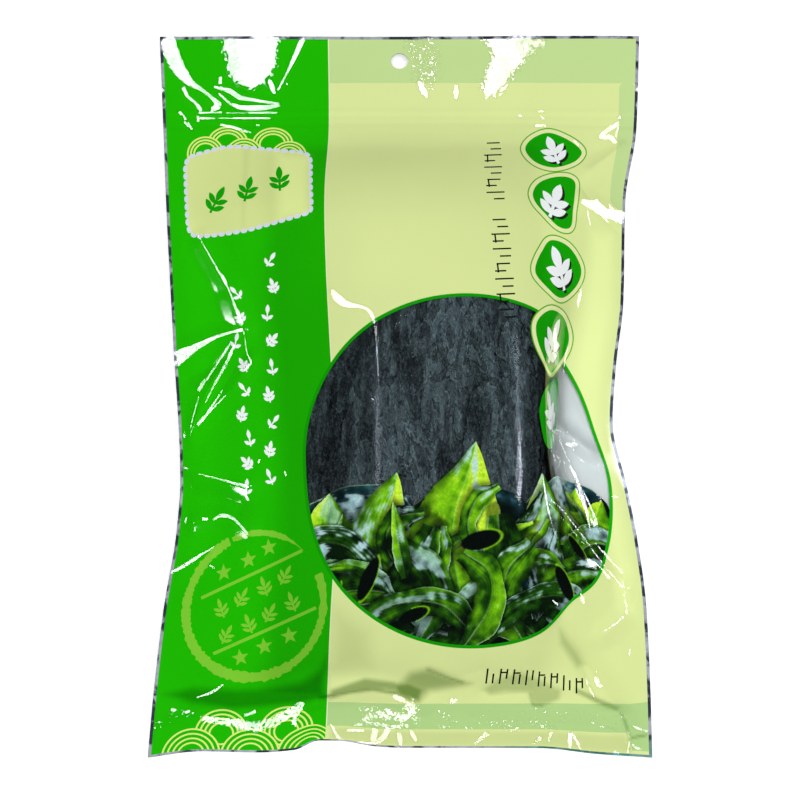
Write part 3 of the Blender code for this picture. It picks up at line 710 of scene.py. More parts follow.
class Glint:
    """A line of small facets that mirrors one panel."""

    def __init__(self, name, soft, density, points):
        points = np.array(points, float)
        length = np.hypot(*np.diff(points[:, :2], axis=0).T).sum()
        count = max(2, int(length / FACET_STEP))
        points = stepped(points, np.linspace(0, len(points) - 1, count + 1))
        self.path, self.width = points[:, :2], points[:, 2]
        self.tilt = film_tilt(self.path[:, 0], self.path[:, 1], name)
        self.name, self.soft, self.density = name, soft, density
        way = unit(np.gradient(self.path, axis=0))
        self.side = np.stack([-way[:, 1], way[:, 0]], axis=1)
        reach = self.width.max() / 2 + max(soft, FACET_RETURN)
        self.low = self.path.min(axis=0) - reach
        self.high = self.path.max(axis=0) + reach

    def points(self):
        """Places along the facets' edges and middle, for the mesh."""
        found = []
        if self.soft > SPECKLED:
            span = np.ceil((self.high - self.low) / SPECK_STEP).astype(int)
            row, column = np.meshgrid(np.arange(span[1]), np.arange(span[0]))
            u = self.low[0] + SPECK_STEP * (column + 0.5 * (row % 2)).ravel()
            v = self.low[1] + SPECK_STEP * row.ravel()
            gap, _, step = near_path(self.path, u, v)
            half = stepped(self.width, step) / 2
            return [np.stack([u, v], axis=1)[gap < half + self.soft]]
        at = np.linspace(0, len(self.path) - 1, 3 * len(self.path) - 2)
        for path, half, side in zip(stepped(self.path, at), stepped(self.width, at) / 2,
                                    stepped(self.side, at)):
            for off in (-half - self.soft, -half, 0, half, half + self.soft):
                found.append(path + side * off)
        return found

    def add_to(self, u, v, height, slope, best, speck):
        """Add its relief, and its slopes where it covers most of a place."""
        near = in_box(u, v, self.low, self.high)
        if not len(near):
            return
        gap, sign, step = near_path(self.path, u[near], v[near])
        half = stepped(self.width, step) / 2
        slopes = (stepped(self.tilt, step) * stepped(self.side, step)).sum(axis=1)
        rise = slopes * sign * np.minimum(gap, half)
        rise = np.clip(rise, -FACET_RISE, FACET_RISE)
        height[near] += rise * (1 - ease((gap - half) / FACET_RETURN))
        mask = 1 - ease((gap - half) / self.soft)
        if self.soft > SPECKLED or self.density < 1:
            mask = np.where(speck[near] < mask * self.density, 1.0,
                            BETWEEN_SPECKS * mask)
        over = np.flatnonzero(mask > best[near])
        if not len(over):
            return
        here = near[over]
        slope[here] = film_tilt(u[here], v[here], self.name) * mask[over][:, None]
        best[here] = mask[over]


FACETS = [Glint(*glint) for glint in GLINTS]


def front_film(u, v):
    """Places and normals of the front film, with its fine facets."""
    place, across, along, normal = FRONT.frame(u, v)
    height, slope, best = np.zeros(len(u)), np.zeros((len(u), 2)), np.zeros(len(u))
    speck = specks(u, v)
    for facet in FACETS:
        facet.add_to(u, v, height, slope, best, speck)
    height = np.clip(height, -FACET_RISE, FACET_RISE)
    tilted = unit(normal - slope[:, :1] * across - slope[:, 1:] * along)
    return place + normal * height[:, None], tilted


# ------------------------------------------------------- flat outlines, in mm
def circle(u, v, radius, step=1.0):
    return oval(u, v, radius, radius, 0, step)


def oval(u, v, half_u, half_v, turn=0.0, step=1.0):
    count = max(14, round(2 * math.pi * max(half_u, half_v) / step))
    t = np.linspace(0, 2 * math.pi, count, endpoint=False)
    return turned(half_u * np.cos(t), half_v * np.sin(t), turn, (u, v))


def turned(x, y, turn, at):
    c, s = math.cos(turn), math.sin(turn)
    return np.stack([at[0] + x * c - y * s, at[1] + x * s + y * c], axis=1)


def box(u0, v0, u1, v1):
    return np.array([(u0, v0), (u1, v0), (u1, v1), (u0, v1)], float)


def bar(u, v, length, width, turn=0.0):
    x = np.array([-1, 1, 1, -1]) * length / 2
    y = np.array([-1, -1, 1, 1]) * width / 2
    return turned(x, y, turn, (u, v))


def spline(a, b, c, d, count):
    """Places from b to c on the Catmull-Rom curve through four points."""
    t = np.linspace(0, 1, count, endpoint=False)[:, None]
    return 0.5 * (2 * b + (c - a) * t + (2 * a - 5 * b + 4 * c - d) * t ** 2
                  + (3 * b - a - 3 * c + d) * t ** 3)


def smooth_path(points, count):
    """A smooth path through points."""
    p = np.array(points, float)
    p = np.vstack([2 * p[0] - p[1], p, 2 * p[-1] - p[-2]])
    parts = [spline(*four, count) for four in zip(p, p[1:], p[2:], p[3:])]
    return np.vstack(parts + [p[-2:-1]])


def stroke(path, width):
    """The outline of a line of this width, or of these widths along it."""
    path = np.array(path, float)
    along = np.gradient(path, axis=0)
    side = np.stack([-along[:, 1], along[:, 0]], axis=1)
    side /= np.linalg.norm(side, axis=1, keepdims=True)
    half = np.broadcast_to(width, len(path))[:, None] / 2
    return np.vstack([path + side * half, (path - side * half)[::-1]])


def arc(u, v, radius, start, end, count, squash=1.0):
    t = np.linspace(start, end, count)
    return np.stack([u + radius * np.cos(t),
                     v + radius * squash * np.sin(t)], axis=1)


def star(u, v, radius, turn):
    t = np.arange(10) * math.pi / 5 + math.pi / 2
    r = np.where(np.arange(10) % 2, 0.42, 1.0) * radius
    return turned(r * np.cos(t), r * np.sin(t), turn, (u, v))


def almond(u, v, length, width, turn):
    """A leaf, pointed at both ends, that starts at its foot."""
    t = np.linspace(0, 1, 9)
    half = width / 2 * np.sin(math.pi * t) ** 0.8
    x = np.concatenate([t * length, (t * length)[-2:0:-1]])
    y = np.concatenate([half, -half[-2:0:-1]])
    return turned(x, y, turn, (u, v))


def sprig(u, v, size, turn, pairs, fat):
    """A stem with leaves: outlines of a generic sprig."""
    up = turn + math.pi / 2

    def stem(share):
        return (u + size * (share - 0.5) * math.cos(up),
                v + size * (share - 0.5) * math.sin(up))

    shapes = [stroke([stem(0.0), stem(0.55)], size * 0.09)]
    shapes.append(almond(*stem(0.42), size * 0.58, size * fat, up))
    for i in range(pairs):
        for side in (-1, 1):
            shapes.append(almond(*stem(0.1 + 0.24 * i), size * 0.46,
                                 size * fat * 0.8, up + side * 0.95))
    return shapes


def rounded(corners, radius):
    """A closed outline with its corners rounded."""
    points = []
    corners = np.array(corners, float)
    for i, corner in enumerate(corners):
        before, after = corners[i - 1], corners[(i + 1) % len(corners)]
        a, b = (corner + (end - corner) * min(
            radius / np.linalg.norm(end - corner), 0.45) for end in (before, after))
        for t in np.linspace(0, 1, 5):
            points.append(mix(mix(a, corner, t), mix(corner, b, t), t))
    return np.array(points)


def resampled(outline, step):
    """The closed outline with no side longer than step."""
    points = []
    for a, b in zip(outline, np.roll(outline, -1, axis=0)):
        count = max(1, math.ceil(math.dist(a, b) / step))
        points += [a + (b - a) * i / count for i in range(count)]
    return np.array(points)


def inside(outline, u, v):
    """Which of the places lie in the outline."""
    found = np.zeros(len(u), bool)
    for (u0, v0), (u1, v1) in zip(outline, np.roll(outline, -1, axis=0)):
        if v0 != v1:
            crosses = (v0 > v) != (v1 > v)
            found ^= crosses & (u < (u1 - u0) * (v - v0) / (v1 - v0) + u0)
    return found


# ------------------------------------------------------------------ the print
def linear(red, green, blue):
    """A colour given as it looks on screen, 0 to 255."""
    c = np.array([red, green, blue]) / 255
    return np.where(c <= 0.04045, c / 12.92, ((c + 0.055) / 1.055) ** 2.4)


INKS = {
    "lime": linear(223, 236, 158),
    "pale_green": linear(197, 223, 148),
    "footer_green": linear(181, 216, 139),
    "bright_green": linear(30, 187, 0),
    "ring_green": linear(20, 164, 4),
    "line_green": linear(96, 178, 30),
    "cream": linear(232, 238, 172),
    "band_line": linear(236, 242, 190),
    "white": linear(244, 248, 246),
    "shadow": linear(28, 44, 26),
    "bead": linear(218, 222, 236),
    "wave_line": linear(224, 240, 128),
    "stamp": linear(126, 204, 52),
    "plaque": linear(216, 230, 148),
    "black": linear(20, 30, 18),
    "frond": linear(60, 110, 30),
    "clear": linear(255, 255, 255),
}
INK_NAMES = list(INKS)
# How much of its brightness an ink keeps over the dark contents.
INK_COVER = {"bright_green": 0.76, "ring_green": 0.8, "stamp": 0.82,
             "wave_line": 0.85, "white": 0.97, "black": 1.0, "frond": 1.0}
PLAIN_COVER = 0.91

MARGIN = 1.3                     # foil left bare round the print
BAND_U = -29.8                   # right edge of the green band
WINDOW_U, WINDOW_V, WINDOW_R = 25.3, 114.0, 68.0
WINDOW_DENTS = ((4.0, -52.0, 9.0), (1.0, -15.0, 20.0))    # depth, angle, half width
RING_W = 1.3
WAVE_W, WAVE_STEP = 0.74, 0.18   # a wave's line, and the step between its rings
STAMP_WEAR = 0.26                # how uneven the worn stamp's ring is
LINE_W, STEM_W = 0.65, 0.7       # widths of the short black rules
# The outlines of the five pebbles, from the top down.
PEBBLES = (
    ((53, 247.9), (55.7, 253.3), (62.4, 256.4), (70.2, 253.8), (76.1, 249.8),
     (77.4, 246.6), (73.7, 242.5), (65.3, 239.6), (57.4, 241.8)),
    ((55.5, 226.6), (58.8, 231.6), (65.2, 234.8), (71.9, 235.5), (75.4, 233.2),
     (74.9, 227.2), (73.6, 220.8), (72.5, 214.1), (69.5, 212.1), (64.6, 213.2),
     (59.2, 218.3), (56.1, 222.2)),
    ((62.1, 206.5), (57.2, 201.5), (53.6, 194.1), (55.5, 189.4), (63.2, 184.1),
     (70.5, 184.3), (77.5, 190), (78.8, 197.1), (71.7, 204.4)),
    ((61.4, 177.9), (54.5, 174.4), (52.3, 169), (54.4, 161.2), (60.3, 154.7),
     (67.6, 154), (76.6, 161), (78, 169.2), (72.1, 176.1)),
    ((72.1, 152.1), (58.5, 146.6), (54.1, 139.5), (54.6, 131.7), (56.9, 124),
     (63.2, 123.3), (71.9, 131), (73.9, 139.3), (74.8, 147.5)),
)


class Print:
    """Outlines with their inks, each over the ones before it."""

    def __init__(self):
        self.shapes = []

    def add(self, ink, outline, step=1.0):
        self.shapes.append((ink, resampled(np.asarray(outline), step)))

    def ink_at(self, u, v):
        found = np.zeros(len(u), int)
        for ink, outline in self.shapes:
            near = in_box(u, v, outline.min(axis=0), outline.max(axis=0))
            if len(near):
                hit = near[inside(outline, u[near], v[near])]
                found[hit] = INK_NAMES.index(ink)
        return found


def background(art):
    edge = HALF_W - MARGIN
    art.add("lime", box(-edge, MARGIN * 0.8, edge, FILM_L - MARGIN))
    art.add("pale_green", box(BAND_U, 279, edge, FILM_L - MARGIN))
    art.add("pale_green", rounded([(92, 279), (edge, 279), (edge, 222),
                                   (92.6, 226)], 2))
    art.add("footer_green", [(BAND_U, 9.5), (91, 9.5), (92.2, 2.4), (edge, 2.4),
                             (edge, 22.4), (91, 21.3), (BAND_U, 21.3)])
    art.add("bright_green", box(-edge, MARGIN * 0.8, BAND_U, FILM_L - MARGIN))
    art.add("band_line", box(BAND_U, MARGIN * 0.8, BAND_U + 0.45, FILM_L - MARGIN))


def wave_arcs(art, places, radius, rings, clip_v, squash=1.0):
    """Concentric arcs, as on a traditional wave pattern, front ones last."""
    for u, v in places:
        for i in range(rings):
            r = radius * (1 - WAVE_STEP * i)
            low = math.asin(min(max((clip_v - v) / (r * squash), -1), 1))
            high = math.pi - low
            if i == 0:
                art.add("bright_green", arc(u, v, r, low, high, 24, squash))
            count = max(6, int((high - low) * r / 1.2))
            ring = arc(u, v, r, low, high, count, squash)
            art.add("wave_line", stroke(ring, WAVE_W))


def plaque(art):
    """The scalloped plaque, upper left, with waves behind its top edge."""
    wave_arcs(art, ((-72.6, 252.2), (-53.5, 251.4)), 8.4, 3, 245, 0.88)
    wave_arcs(art, ((-82.2, 247.7), (-65.7, 246.6), (-46.4, 244.6)), 7.6, 3, 243)
    corners = [(-91.1, 246.3), (-72.1, 251.1), (-36.8, 246.4), (-35, 218.3),
               (-37.5, 217.2), (-63.4, 211.6), (-85.7, 210.5), (-90.4, 213.5)]
    outline = rounded(corners, 5)
    art.add("plaque", outline)
    ring = np.vstack([outline, outline[:1]])
    run = np.concatenate([[0], np.cumsum(np.hypot(*np.diff(ring, axis=0).T))])
    at = np.arange(0, run[-1] - 1, run[-1] / round(run[-1] / 3.4))
    beads = np.stack([np.interp(at, run, c) for c in ring.T], axis=1)
    beads_ahead = np.stack([np.interp(at + 0.5, run, c) for c in ring.T], axis=1)
    for (u, v), (u1, v1) in zip(beads, beads_ahead):
        art.add("bead", oval(u, v, 1.5, 0.95, math.atan2(v1 - v, u1 - u), 0.5), 0.6)
    for i, (u, v, size) in enumerate(((-76.5, 226.5, 13), (-63, 230.5, 12),
                                 (-49.5, 234.5, 12))):
        for shape in sprig(u, v, size, -0.5 + 0.3 * i, pairs=2, fat=0.24):
            art.add("ring_green", shape, 0.8)


def slogan_columns(art):
    """Two columns of small white leaf marks."""
    for start, end, count, slip in (((-53, 199), (-58, 112), 9, -0.2),
                                    ((-69, 186), (-68, 108), 9, 0.25)):
        for i in range(count):
            share = i / (count - 1)
            u = mix(start[0], end[0], share) + 1.4 * math.sin(2.3 * i)
            v = mix(start[1], end[1], share)
            lean = slip + 0.6 * math.sin(1.9 * i + 4 * slip)
            for shape in sprig(u, v, 6.8, lean, 1 + i % 2, 0.26):
                art.add("white", shape, 0.7)


def stamp(art):
    """A worn round stamp: a broken ring, two rules, stars and leaf marks."""
    draw = np.random.default_rng(SEED + 5)
    u, v, radius = -61.5, 61.3, 28.7
    for start, end, wide in ((0.85, 2.0, 2.2), (2.05, 3.4, 3.7),
                             (3.4, 5.3, 4.2), (5.25, 6.74, 3.0)):
        count = int((end - start) * radius / 0.9)
        widths = wide * (1 + STAMP_WEAR * draw.uniform(-1, 1, count))
        if start < 1:
            widths *= ease(np.linspace(0, 2.2, count)) + 0.08
        middle = arc(u, v, radius, start, end, count)
        art.add("stamp", stroke(middle, widths), 0.8)
    lean = 0.43
    for place in ((-63.6, 73.6, 45), (-56.1, 51.4, 45)):
        art.add("stamp", bar(place[0], place[1], place[2], 1.3, lean))
    for at in ((-75.6, 74.4), (-65.6, 79.4), (-57.4, 84.2),
               (-65.3, 40.6), (-55.8, 45.3), (-45.8, 49.7)):
        art.add("stamp", star(*at, 3.6, 0.2))
    for row, (u0, v0) in enumerate(((-74.9, 60.4), (-71.4, 50.0))):
        for i in range(4):
            at = (u0 + 8.6 * i, v0 + 4.4 * i)
            for shape in sprig(*at, 8.4, lean * (-1) ** (i + row), 2, 0.2):
                art.add("stamp", shape, 0.8)


def corner_waves(art):
    low = MARGIN * 0.8
    wave_arcs(art, ((-71.4, 8.3), (-45.6, 9.5)), 10.4, 4, 3)
    wave_arcs(art, ((-83, -1), (-59.4, -1), (-36.9, -1)), 11.4, 4, low)
    art.add("lime", box(BAND_U, low, BAND_U + 12, 9.4))


def window_reach(off):
    """How far the window's edge is from its middle, that way."""
    angle = np.degrees(np.arctan2(off[..., 1], off[..., 0]))
    return WINDOW_R - sum(depth * np.exp(-((angle - at) / half) ** 2)
                          for depth, at, half in WINDOW_DENTS)


def window_outline(grow):
    rim_line = circle(0, 0, 1.0, 0.015)
    return (WINDOW_U, WINDOW_V) + rim_line * (window_reach(rim_line) + grow)[:, None]


def window(art):
    art.add("ring_green", window_outline(RING_W))
    art.add("clear", window_outline(0.0))


def closed_curve(points, grow=0.0):
    """A smooth closed outline through points, grown outwards."""
    rolled = [np.roll(np.array(points, float), shift, 0) for shift in (1, 0, -1, -2)]
    path = np.vstack([spline(*four, 8) for four in zip(*rolled)])
    along = np.roll(path, -1, 0) - np.roll(path, 1, 0)
    out = unit(np.stack([along[:, 1], -along[:, 0]], axis=1))
    outwards = np.sign(((path - path.mean(axis=0)) * out).sum())
    return path + out * outwards * grow


def pebbles(art):
    """Five green pebbles down the right, each with a white sprig."""
    for stone in PEBBLES[:4]:
        art.add("line_green", closed_curve(stone, 2.3))
        art.add("cream", closed_curve(stone, 1.75))
    for i, stone in enumerate(PEBBLES):
        art.add("ring_green", closed_curve(stone))
        low, high = np.min(stone, axis=0), np.max(stone, axis=0)
        u, v = (low + high) / 2
        size = (high - low).min() * 0.84
        lean = 0.4 * (-1) ** i
        for ink, du, dv in (("shadow", 0.8, -0.8), ("white", -0.3, 0.2)):
            for shape in sprig(u + du, v + dv, size, lean, 2, 0.27):
                art.add(ink, shape)


def black_marks(art):
    """Short rules in place of the small black type: a column and a row."""
    gap, lean = 5, 0.05
    for i in range(13):
        if i == gap:
            continue
        u, v = 39.4 + 0.13 * i, 249.5 - 6.17 * i
        art.add("black", bar(u, v + 1.5, 7.4 if i % 3 else 5.4, LINE_W, lean))
        if i % 2:
            art.add("black", bar(u - 2.2, v - 0.4, LINE_W, 3.6, lean))
        art.add("black", bar(u + 1.2 * (-1) ** i, v - 1.5, 4.4, LINE_W, lean))
    for i in range(8):
        u, v = 34.0 + 5.3 * i, 33.2 - 0.09 * i ** 2
        art.add("black", bar(u - 1.3, v, STEM_W, 6.4))
        if i % 3:
            art.add("black", bar(u, v + 1.6, 2.6, LINE_W))
        art.add("black", bar(u + 1.2, v + (1.0 if i % 2 else -1.0), STEM_W, 4.2))


# The picture in the window: blades from back to front.  Each has the places
# it runs through, its width, whether it ends in a point, its tone (0 dark to 1
# bright yellow-green), how wet it shines and which side of it is lit.
BLADES = (
    (((-48, 86), (-32, 97), (-12, 99), (6, 88)), 17, 0, 0.24, 0.8, 1),
    (((96, 88), (78, 101), (58, 102), (40, 91)), 17, 0, 0.24, 0.8, -1),
    (((-6, 88), (14, 99), (34, 99), (52, 88)), 15, 0, 0.26, 0.9, 1),
    (((-22, 56), (-27, 76), (-33, 92), (-33, 105)), 22, 1, 0.95, 0.4, 1),
    (((-2, 50), (-8, 74), (-12, 92), (-6, 113)), 31, 1, 1.08, 0.8, -1),
    (((22, 44), (18, 70), (19, 96), (27, 125)), 38, 1, 1.15, 0.8, -1),
    (((44, 50), (47, 74), (53, 92), (52, 113)), 27, 1, 1.05, 0.7, 1),
    (((66, 58), (68, 78), (73, 94), (78, 108)), 21, 1, 0.98, 0.3, -1),
    (((90, 74), (88, 86), (85, 96), (88, 103)), 14, 1, 1.05, 0.2, 1),
    (((-46, 78), (-34, 86), (-20, 80), (-10, 62)), 13, 0, 0.34, 1.0, 1),
    (((96, 80), (82, 87), (68, 81), (60, 63)), 13, 0, 0.36, 1.0, -1),
    (((8, 92), (2, 78), (-8, 66), (-24, 60)), 14, 0, 0.62, 0.9, 1),
    (((34, 97), (36, 81), (30, 67), (14, 56)), 15, 0, 0.50, 1.0, -1),
    (((58, 91), (54, 77), (58, 62), (72, 53)), 14, 0, 0.62, 0.8, -1),
    (((-40, 70), (-27, 74), (-14, 70), (-4, 56)), 12, 0, 0.70, 0.3, 1),
    (((90, 69), (78, 75), (60, 72), (48, 57)), 12, 0, 0.44, 1.0, 1),
    (((-36, 60), (-22, 68), (-4, 66), (8, 53)), 12, 0, 0.46, 1.0, -1),
    (((-6, 85), (6, 76), (10, 62), (4, 47)), 13, 0, 0.60, 0.7, 1),
    (((48, 85), (38, 74), (36, 60), (45, 47)), 14, 0, 0.75, 1.0, -1),
    (((-20, 53), (-4, 62), (14, 62), (27, 49)), 11, 0, 0.52, 0.8, 1),
    (((76, 57), (62, 65), (44, 62), (31, 49)), 11, 0, 0.50, 1.0, -1),
    (((20, 82), (30, 73), (30, 58), (22, 44)), 12, 0, 0.90, 0.9, 1),
)
SMALL_BLADES = 18
# Hollows between the blades: place, half sizes and lean.
HOLLOWS = ((-16, 72, 2.6, 8.5, -0.35), (27, 87, 7.5, 3.4, 0.25),
           (62, 70, 2.6, 7.5, 0.5), (2, 58, 5.5, 2.4, 0.4),
           (-30, 66, 1.8, 5.5, -0.6), (70, 84, 2.0, 6.0, 0.7))
LEAF_RAMP = np.array([linear(8, 26, 8), linear(30, 78, 10), linear(84, 150, 14),
                      linear(132, 204, 18), linear(194, 234, 54)])
DEEP_RAMP = np.array([linear(8, 20, 22), linear(20, 50, 54), linear(56, 104, 114),
                      linear(120, 172, 188), linear(196, 228, 238)])
DEEP_TONE = 0.3                  # blades darker than this are blue-green
LEAF_WET = linear(176, 212, 214)
LEAF_GAP = linear(6, 12, 8)
GRAIN_DARK, GRAIN_RISE = 0.84, 0.36    # the picture's coarse printed grain
PICTURE_LOW = 50                 # the picture is dimmer from here down
POINTED_UNEVEN, BROAD_UNEVEN = 0.12, 0.28
DARK_SIDE_CAST, LIT_SIDE_CAST = 3.2, 1.4    # how far a blade's shade falls
CAST_SHADE = 0.72
STREAK = 0.11                    # fine streaks along a wet blade
WET_FROM, WET_SOFT = 0.36, 0.30
PICTURE_BASE = ((-43, 90), (-24, 95), (0, 94), (20, 95), (44, 94), (68, 96),
                (93, 92))


class Blade:
    """One leaf of the picture."""

    def __init__(self, points, width, pointed, tone, wet, side):
        self.path = smooth_path(points, 7)
        self.width, self.pointed = width, pointed
        self.tone, self.wet, self.side = tone, wet, side
        self.phase = 1.7 * points[0][0] + 0.9 * points[0][1]

    def half(self, share):
        """Half of its width at a share of its length."""
        wave = (1 + 0.09 * np.sin(9 * share + self.phase)
                + 0.05 * np.sin(23 * share + 2 * self.phase))
        root = 0.55 + 0.45 * ease(share / 0.25)
        if self.pointed:
            tip = np.minimum(1, (1 - share) / 0.42) ** 0.85
        else:
            tip = 0.45 + 0.55 * ease((1 - share) / 0.3)
        return self.width / 2 * wave * root * tip + 0.03

    def outline(self):
        return stroke(self.path, 2 * self.half(np.linspace(0, 1, len(self.path))))

    def paint(self, u, v, colour, cloud, grain):
        """Paint it over the colours, and shade what lies just under it."""
        reach = self.width / 2 + 4
        near = in_box(u, v, self.path.min(axis=0) - reach,
                      self.path.max(axis=0) + reach)
        if not len(near):
            return
        gap, sign, step = near_path(self.path, u[near], v[near])
        share = step / (len(self.path) - 1)
        half = self.half(share)
        on = (gap < half) & (share > 0) & (share < 1)
        below = near[~on]
        cast = np.where(sign[~on] * self.side < 0, DARK_SIDE_CAST, LIT_SIDE_CAST)
        shade = CAST_SHADE * ease(1 - (gap - half)[~on] / cast)
        colour[below] = mix(colour[below], LEAF_GAP, shade[:, None])
        here, share, half = near[on], share[on], half[on]
        t = (gap * sign)[on] / half * self.side
        depth = half - gap[on]
        cloud_u = np.clip(9 * t + 40 * math.sin(self.phase), -95, 95)
        cloud_v = 150 + 120 * math.cos(self.phase) + 26 * share
        patch = Sheet.read(cloud, cloud_u, cloud_v)
        other = Sheet.read(cloud, -cloud_u, 300 - cloud_v)
        fold = 0.18 * np.sin(4 * share + self.phase)
        light = self.tone * (0.66 + 0.26 * t) * (0.50 + 0.50 * ease(1.3 * share))
        light -= 0.22 * ease(1 - np.abs(t - fold) / 0.45) * (t < fold)
        up = v[here] - PICTURE_LOW
        uneven = POINTED_UNEVEN if self.pointed else BROAD_UNEVEN
        light += uneven * patch + 0.06 * np.sin(30 * t + 5 * patch) * (1 - np.abs(t))
        light *= mix(0.42, 1.12, ease(up / 30))
        light += 0.15 * grain[here]
        ramp = DEEP_RAMP if self.tone < DEEP_TONE else LEAF_RAMP
        at = np.clip(light, 0, 1) * (len(ramp) - 1)
        body = stepped(ramp, at)
        streak = STREAK * np.sin(34 * t + 8 * patch)
        shine = other + 0.15 * t + streak + 0.26 * grain[here]
        shine = self.wet * ease((shine - WET_FROM) / WET_SOFT)
        shine *= (0.74 + 0.5 * grain[here]) * mix(0.5, 1.0, ease(up / 40))
        body = mix(body, LEAF_WET, 0.9 * np.clip(shine, 0, 1)[:, None])
        rib = ease(1 - np.abs(t - fold) * half / 0.34) * 0.3 * self.wet
        rim = ease(1 - depth / 0.5) * ease((t + 0.1) * 3) * 0.7
        line = np.clip(np.maximum(rib, rim) * (0.4 + 1.2 * patch), 0, 1)
        body = mix(body, mix(LEAF_WET, LEAF_RAMP[4], 0.45), line[:, None])
        dark = ease(1 - depth / (0.5 * half)) * ease(-t * 3) * 0.6
        colour[here] = mix(body, LEAF_GAP, dark[:, None])


def leaf_blades():
    """The blades from back to front, small ones scattered among the last."""
    draw = np.random.default_rng(SEED + 9)
    small = []
    for _ in range(SMALL_BLADES):
        u, v = draw.uniform(-34, 84), draw.uniform(50, 84)
        turn, bend, length = draw.uniform(0, math.pi), draw.normal(0, 0.5), 10
        points = [(u, v)]
        for _ in range(3):
            u, v = u + length * math.cos(turn), v + length * math.sin(turn)
            points.append((u, v))
            turn += bend
        small.append(Blade(points, draw.uniform(5, 10), draw.random() < 0.4,
                           draw.uniform(0.25, 0.85), draw.uniform(0.4, 1.0),
                           draw.choice((-1, 1))))
    large = [Blade(*blade) for blade in BLADES]
    return large[:9] + small[:12] + large[9:18] + small[12:] + large[18:]


LEAVES = leaf_blades()


def within_window(outline):
    """The outline pushed in to the window's circle."""
    off = outline - (WINDOW_U, WINDOW_V)
    far = np.linalg.norm(off, axis=1)
    share = np.minimum(1, (window_reach(off) - 0.02) / far)
    return (WINDOW_U, WINDOW_V) + off * share[:, None]


def picture(art):
    """A generic picture of ribbon leaves, in the lower part of the window."""
    top = smooth_path(PICTURE_BASE, 12)
    low = circle(WINDOW_U, WINDOW_V, WINDOW_R + 2)
    low = low[low[:, 1] < 90]
    low = low[np.argsort(low[:, 0])[::-1]]
    art.add("frond", within_window(np.vstack([top, low])))
    for leaf in LEAVES:
        art.add("frond", within_window(leaf.outline()))


def picture_colours(u, v):
    """The colour of the leaf picture at flat places."""
    colour = np.tile(LEAF_GAP, (len(u), 1))
    cloud = swell(4, 5, SEED + 7)
    cloud *= 0.5 / cloud.std()
    grain = swell(1.0, 1.0, SEED + 8)
    grain = Sheet.read(grain * 0.5 / grain.std(), u, v)
    for leaf in LEAVES:
        leaf.paint(u, v, colour, cloud, grain)
    for at_u, at_v, half_u, half_v, lean in HOLLOWS:
        x, y = u - at_u, v - at_v
        c, s = math.cos(lean), math.sin(lean)
        away = np.hypot((x * c + y * s) / half_u, (y * c - x * s) / half_v)
        lip = 0.7 * ease(1 - np.abs(away - 1.12) / 0.14) * (x * c + y * s > 0)
        colour = mix(colour, LEAF_RAMP[3], lip[:, None])
        colour = mix(colour, LEAF_GAP, ease((1.1 - away) / 0.12)[:, None])
    return colour * (GRAIN_DARK + GRAIN_RISE * specks(u, v))[:, None]


# ------------------------------------------------- what shows through the film
BUNDLE_LEFT, BUNDLE_RIGHT = -62.0, 56.0
BUNDLE_LOW, BUNDLE_HIGH = 27.0, 252.0


def contents_shade():
    """1 where dark strands lie right behind the film, 0 where none do."""
    ragged = 5 * swell(16, 16, SEED + 3) + 2.5 * swell(6, 6, SEED + 4)
    left = ease((U - BUNDLE_LEFT + ragged * 0.5) / 14)
    right = ease((BUNDLE_RIGHT + 8 - U + ragged * 0.6) / 12)
    top = ease((BUNDLE_HIGH - V + ragged * 0.35) / 6) * mix(
        0.72, 1.0, ease((BUNDLE_HIGH - 12 - V) / 40))
    low = ease((V - BUNDLE_LOW + ragged) / 9)
    lighter = 1 - 0.45 * blob(0, 205, 80, 38)
    return left * right * top * low * lighter


CONTENTS = contents_shade()
# Soft shade in the print's folds: how much light it keeps, how soft its edge
# is and its outline.  One that keeps more than 1 is lit instead.
SHADES = (
    (0.56, 4.5, ((-96, 25.5), (-84, 21.2), (-68.4, 18.6), (-40.5, 21), (-29.9, 23.3),
                 (-30.4, 42), (-33.7, 34.8), (-48.7, 28.5), (-66.7, 27.5),
                 (-84, 28.4))),
    (0.42, 6.0, ((-66, 26), (-30.2, 22.6), (-30.2, 38), (-40, 31.5))),
    (0.48, 2.4, ((-28.7, 26.9), (-15.1, 32.4), (-3.3, 30.9), (4.8, 27.4), (5, 24.4),
                 (-7, 27.4), (-20.8, 25.2), (-28.6, 22.4))),
    (0.52, 5.0, ((-1.3, 30.5), (3, 24.4), (7.1, 22.2), (10.8, 26.6), (24.4, 29.1),
                 (27.1, 30), (18.1, 33.4), (10, 36.8), (2.3, 35.1))),
    (0.32, 3.5, ((-5, 30), (-1.5, 24.4), (7.1, 22), (9, 28), (2.3, 31))),
    (0.84, 12.0, ((-29, 34), (-29, 62), (-14, 52), (-12, 36))),
    (0.86, 3.0, ((-28, 1), (92, 1), (92, 8.6), (-28, 8.6))),
    (0.70, 3.0, ((31.7, 27.4), (34.7, 25.2), (40.5, 26.5), (50.6, 26), (52.1, 20.8),
                 (57, 20.3), (63, 22.9), (63.8, 27.2), (54.3, 31.5), (45.5, 35),
                 (36, 31.7))),
    (0.70, 4.0, ((60.9, 52.7), (70, 43.6), (74, 37.5), (70, 36), (62, 46))),
    (0.90, 4.0, ((-66, 250), (-63, 250), (-64, 213), (-65, 213))),
    # more light on the plaque, the two flanks and the zip
    (1.20, 8.0, ((-52, 247), (-36, 246), (-36, 216), (-50, 215))),
    (1.10, 14.0, ((-96, 230), (-76, 205), (-78, 150), (-80, 80), (-97, 70))),
    (1.14, 10.0, ((96, 214), (82, 214), (82, 150), (88, 60), (97, 55))),
    (1.05, 2.0, ((-99, 264.6), (99, 264.6), (99, 266.2), (-99, 266.2))),
    (0.92, 2.5, ((-99, 258.6), (99, 258.6), (99, 260), (-99, 260))),
)
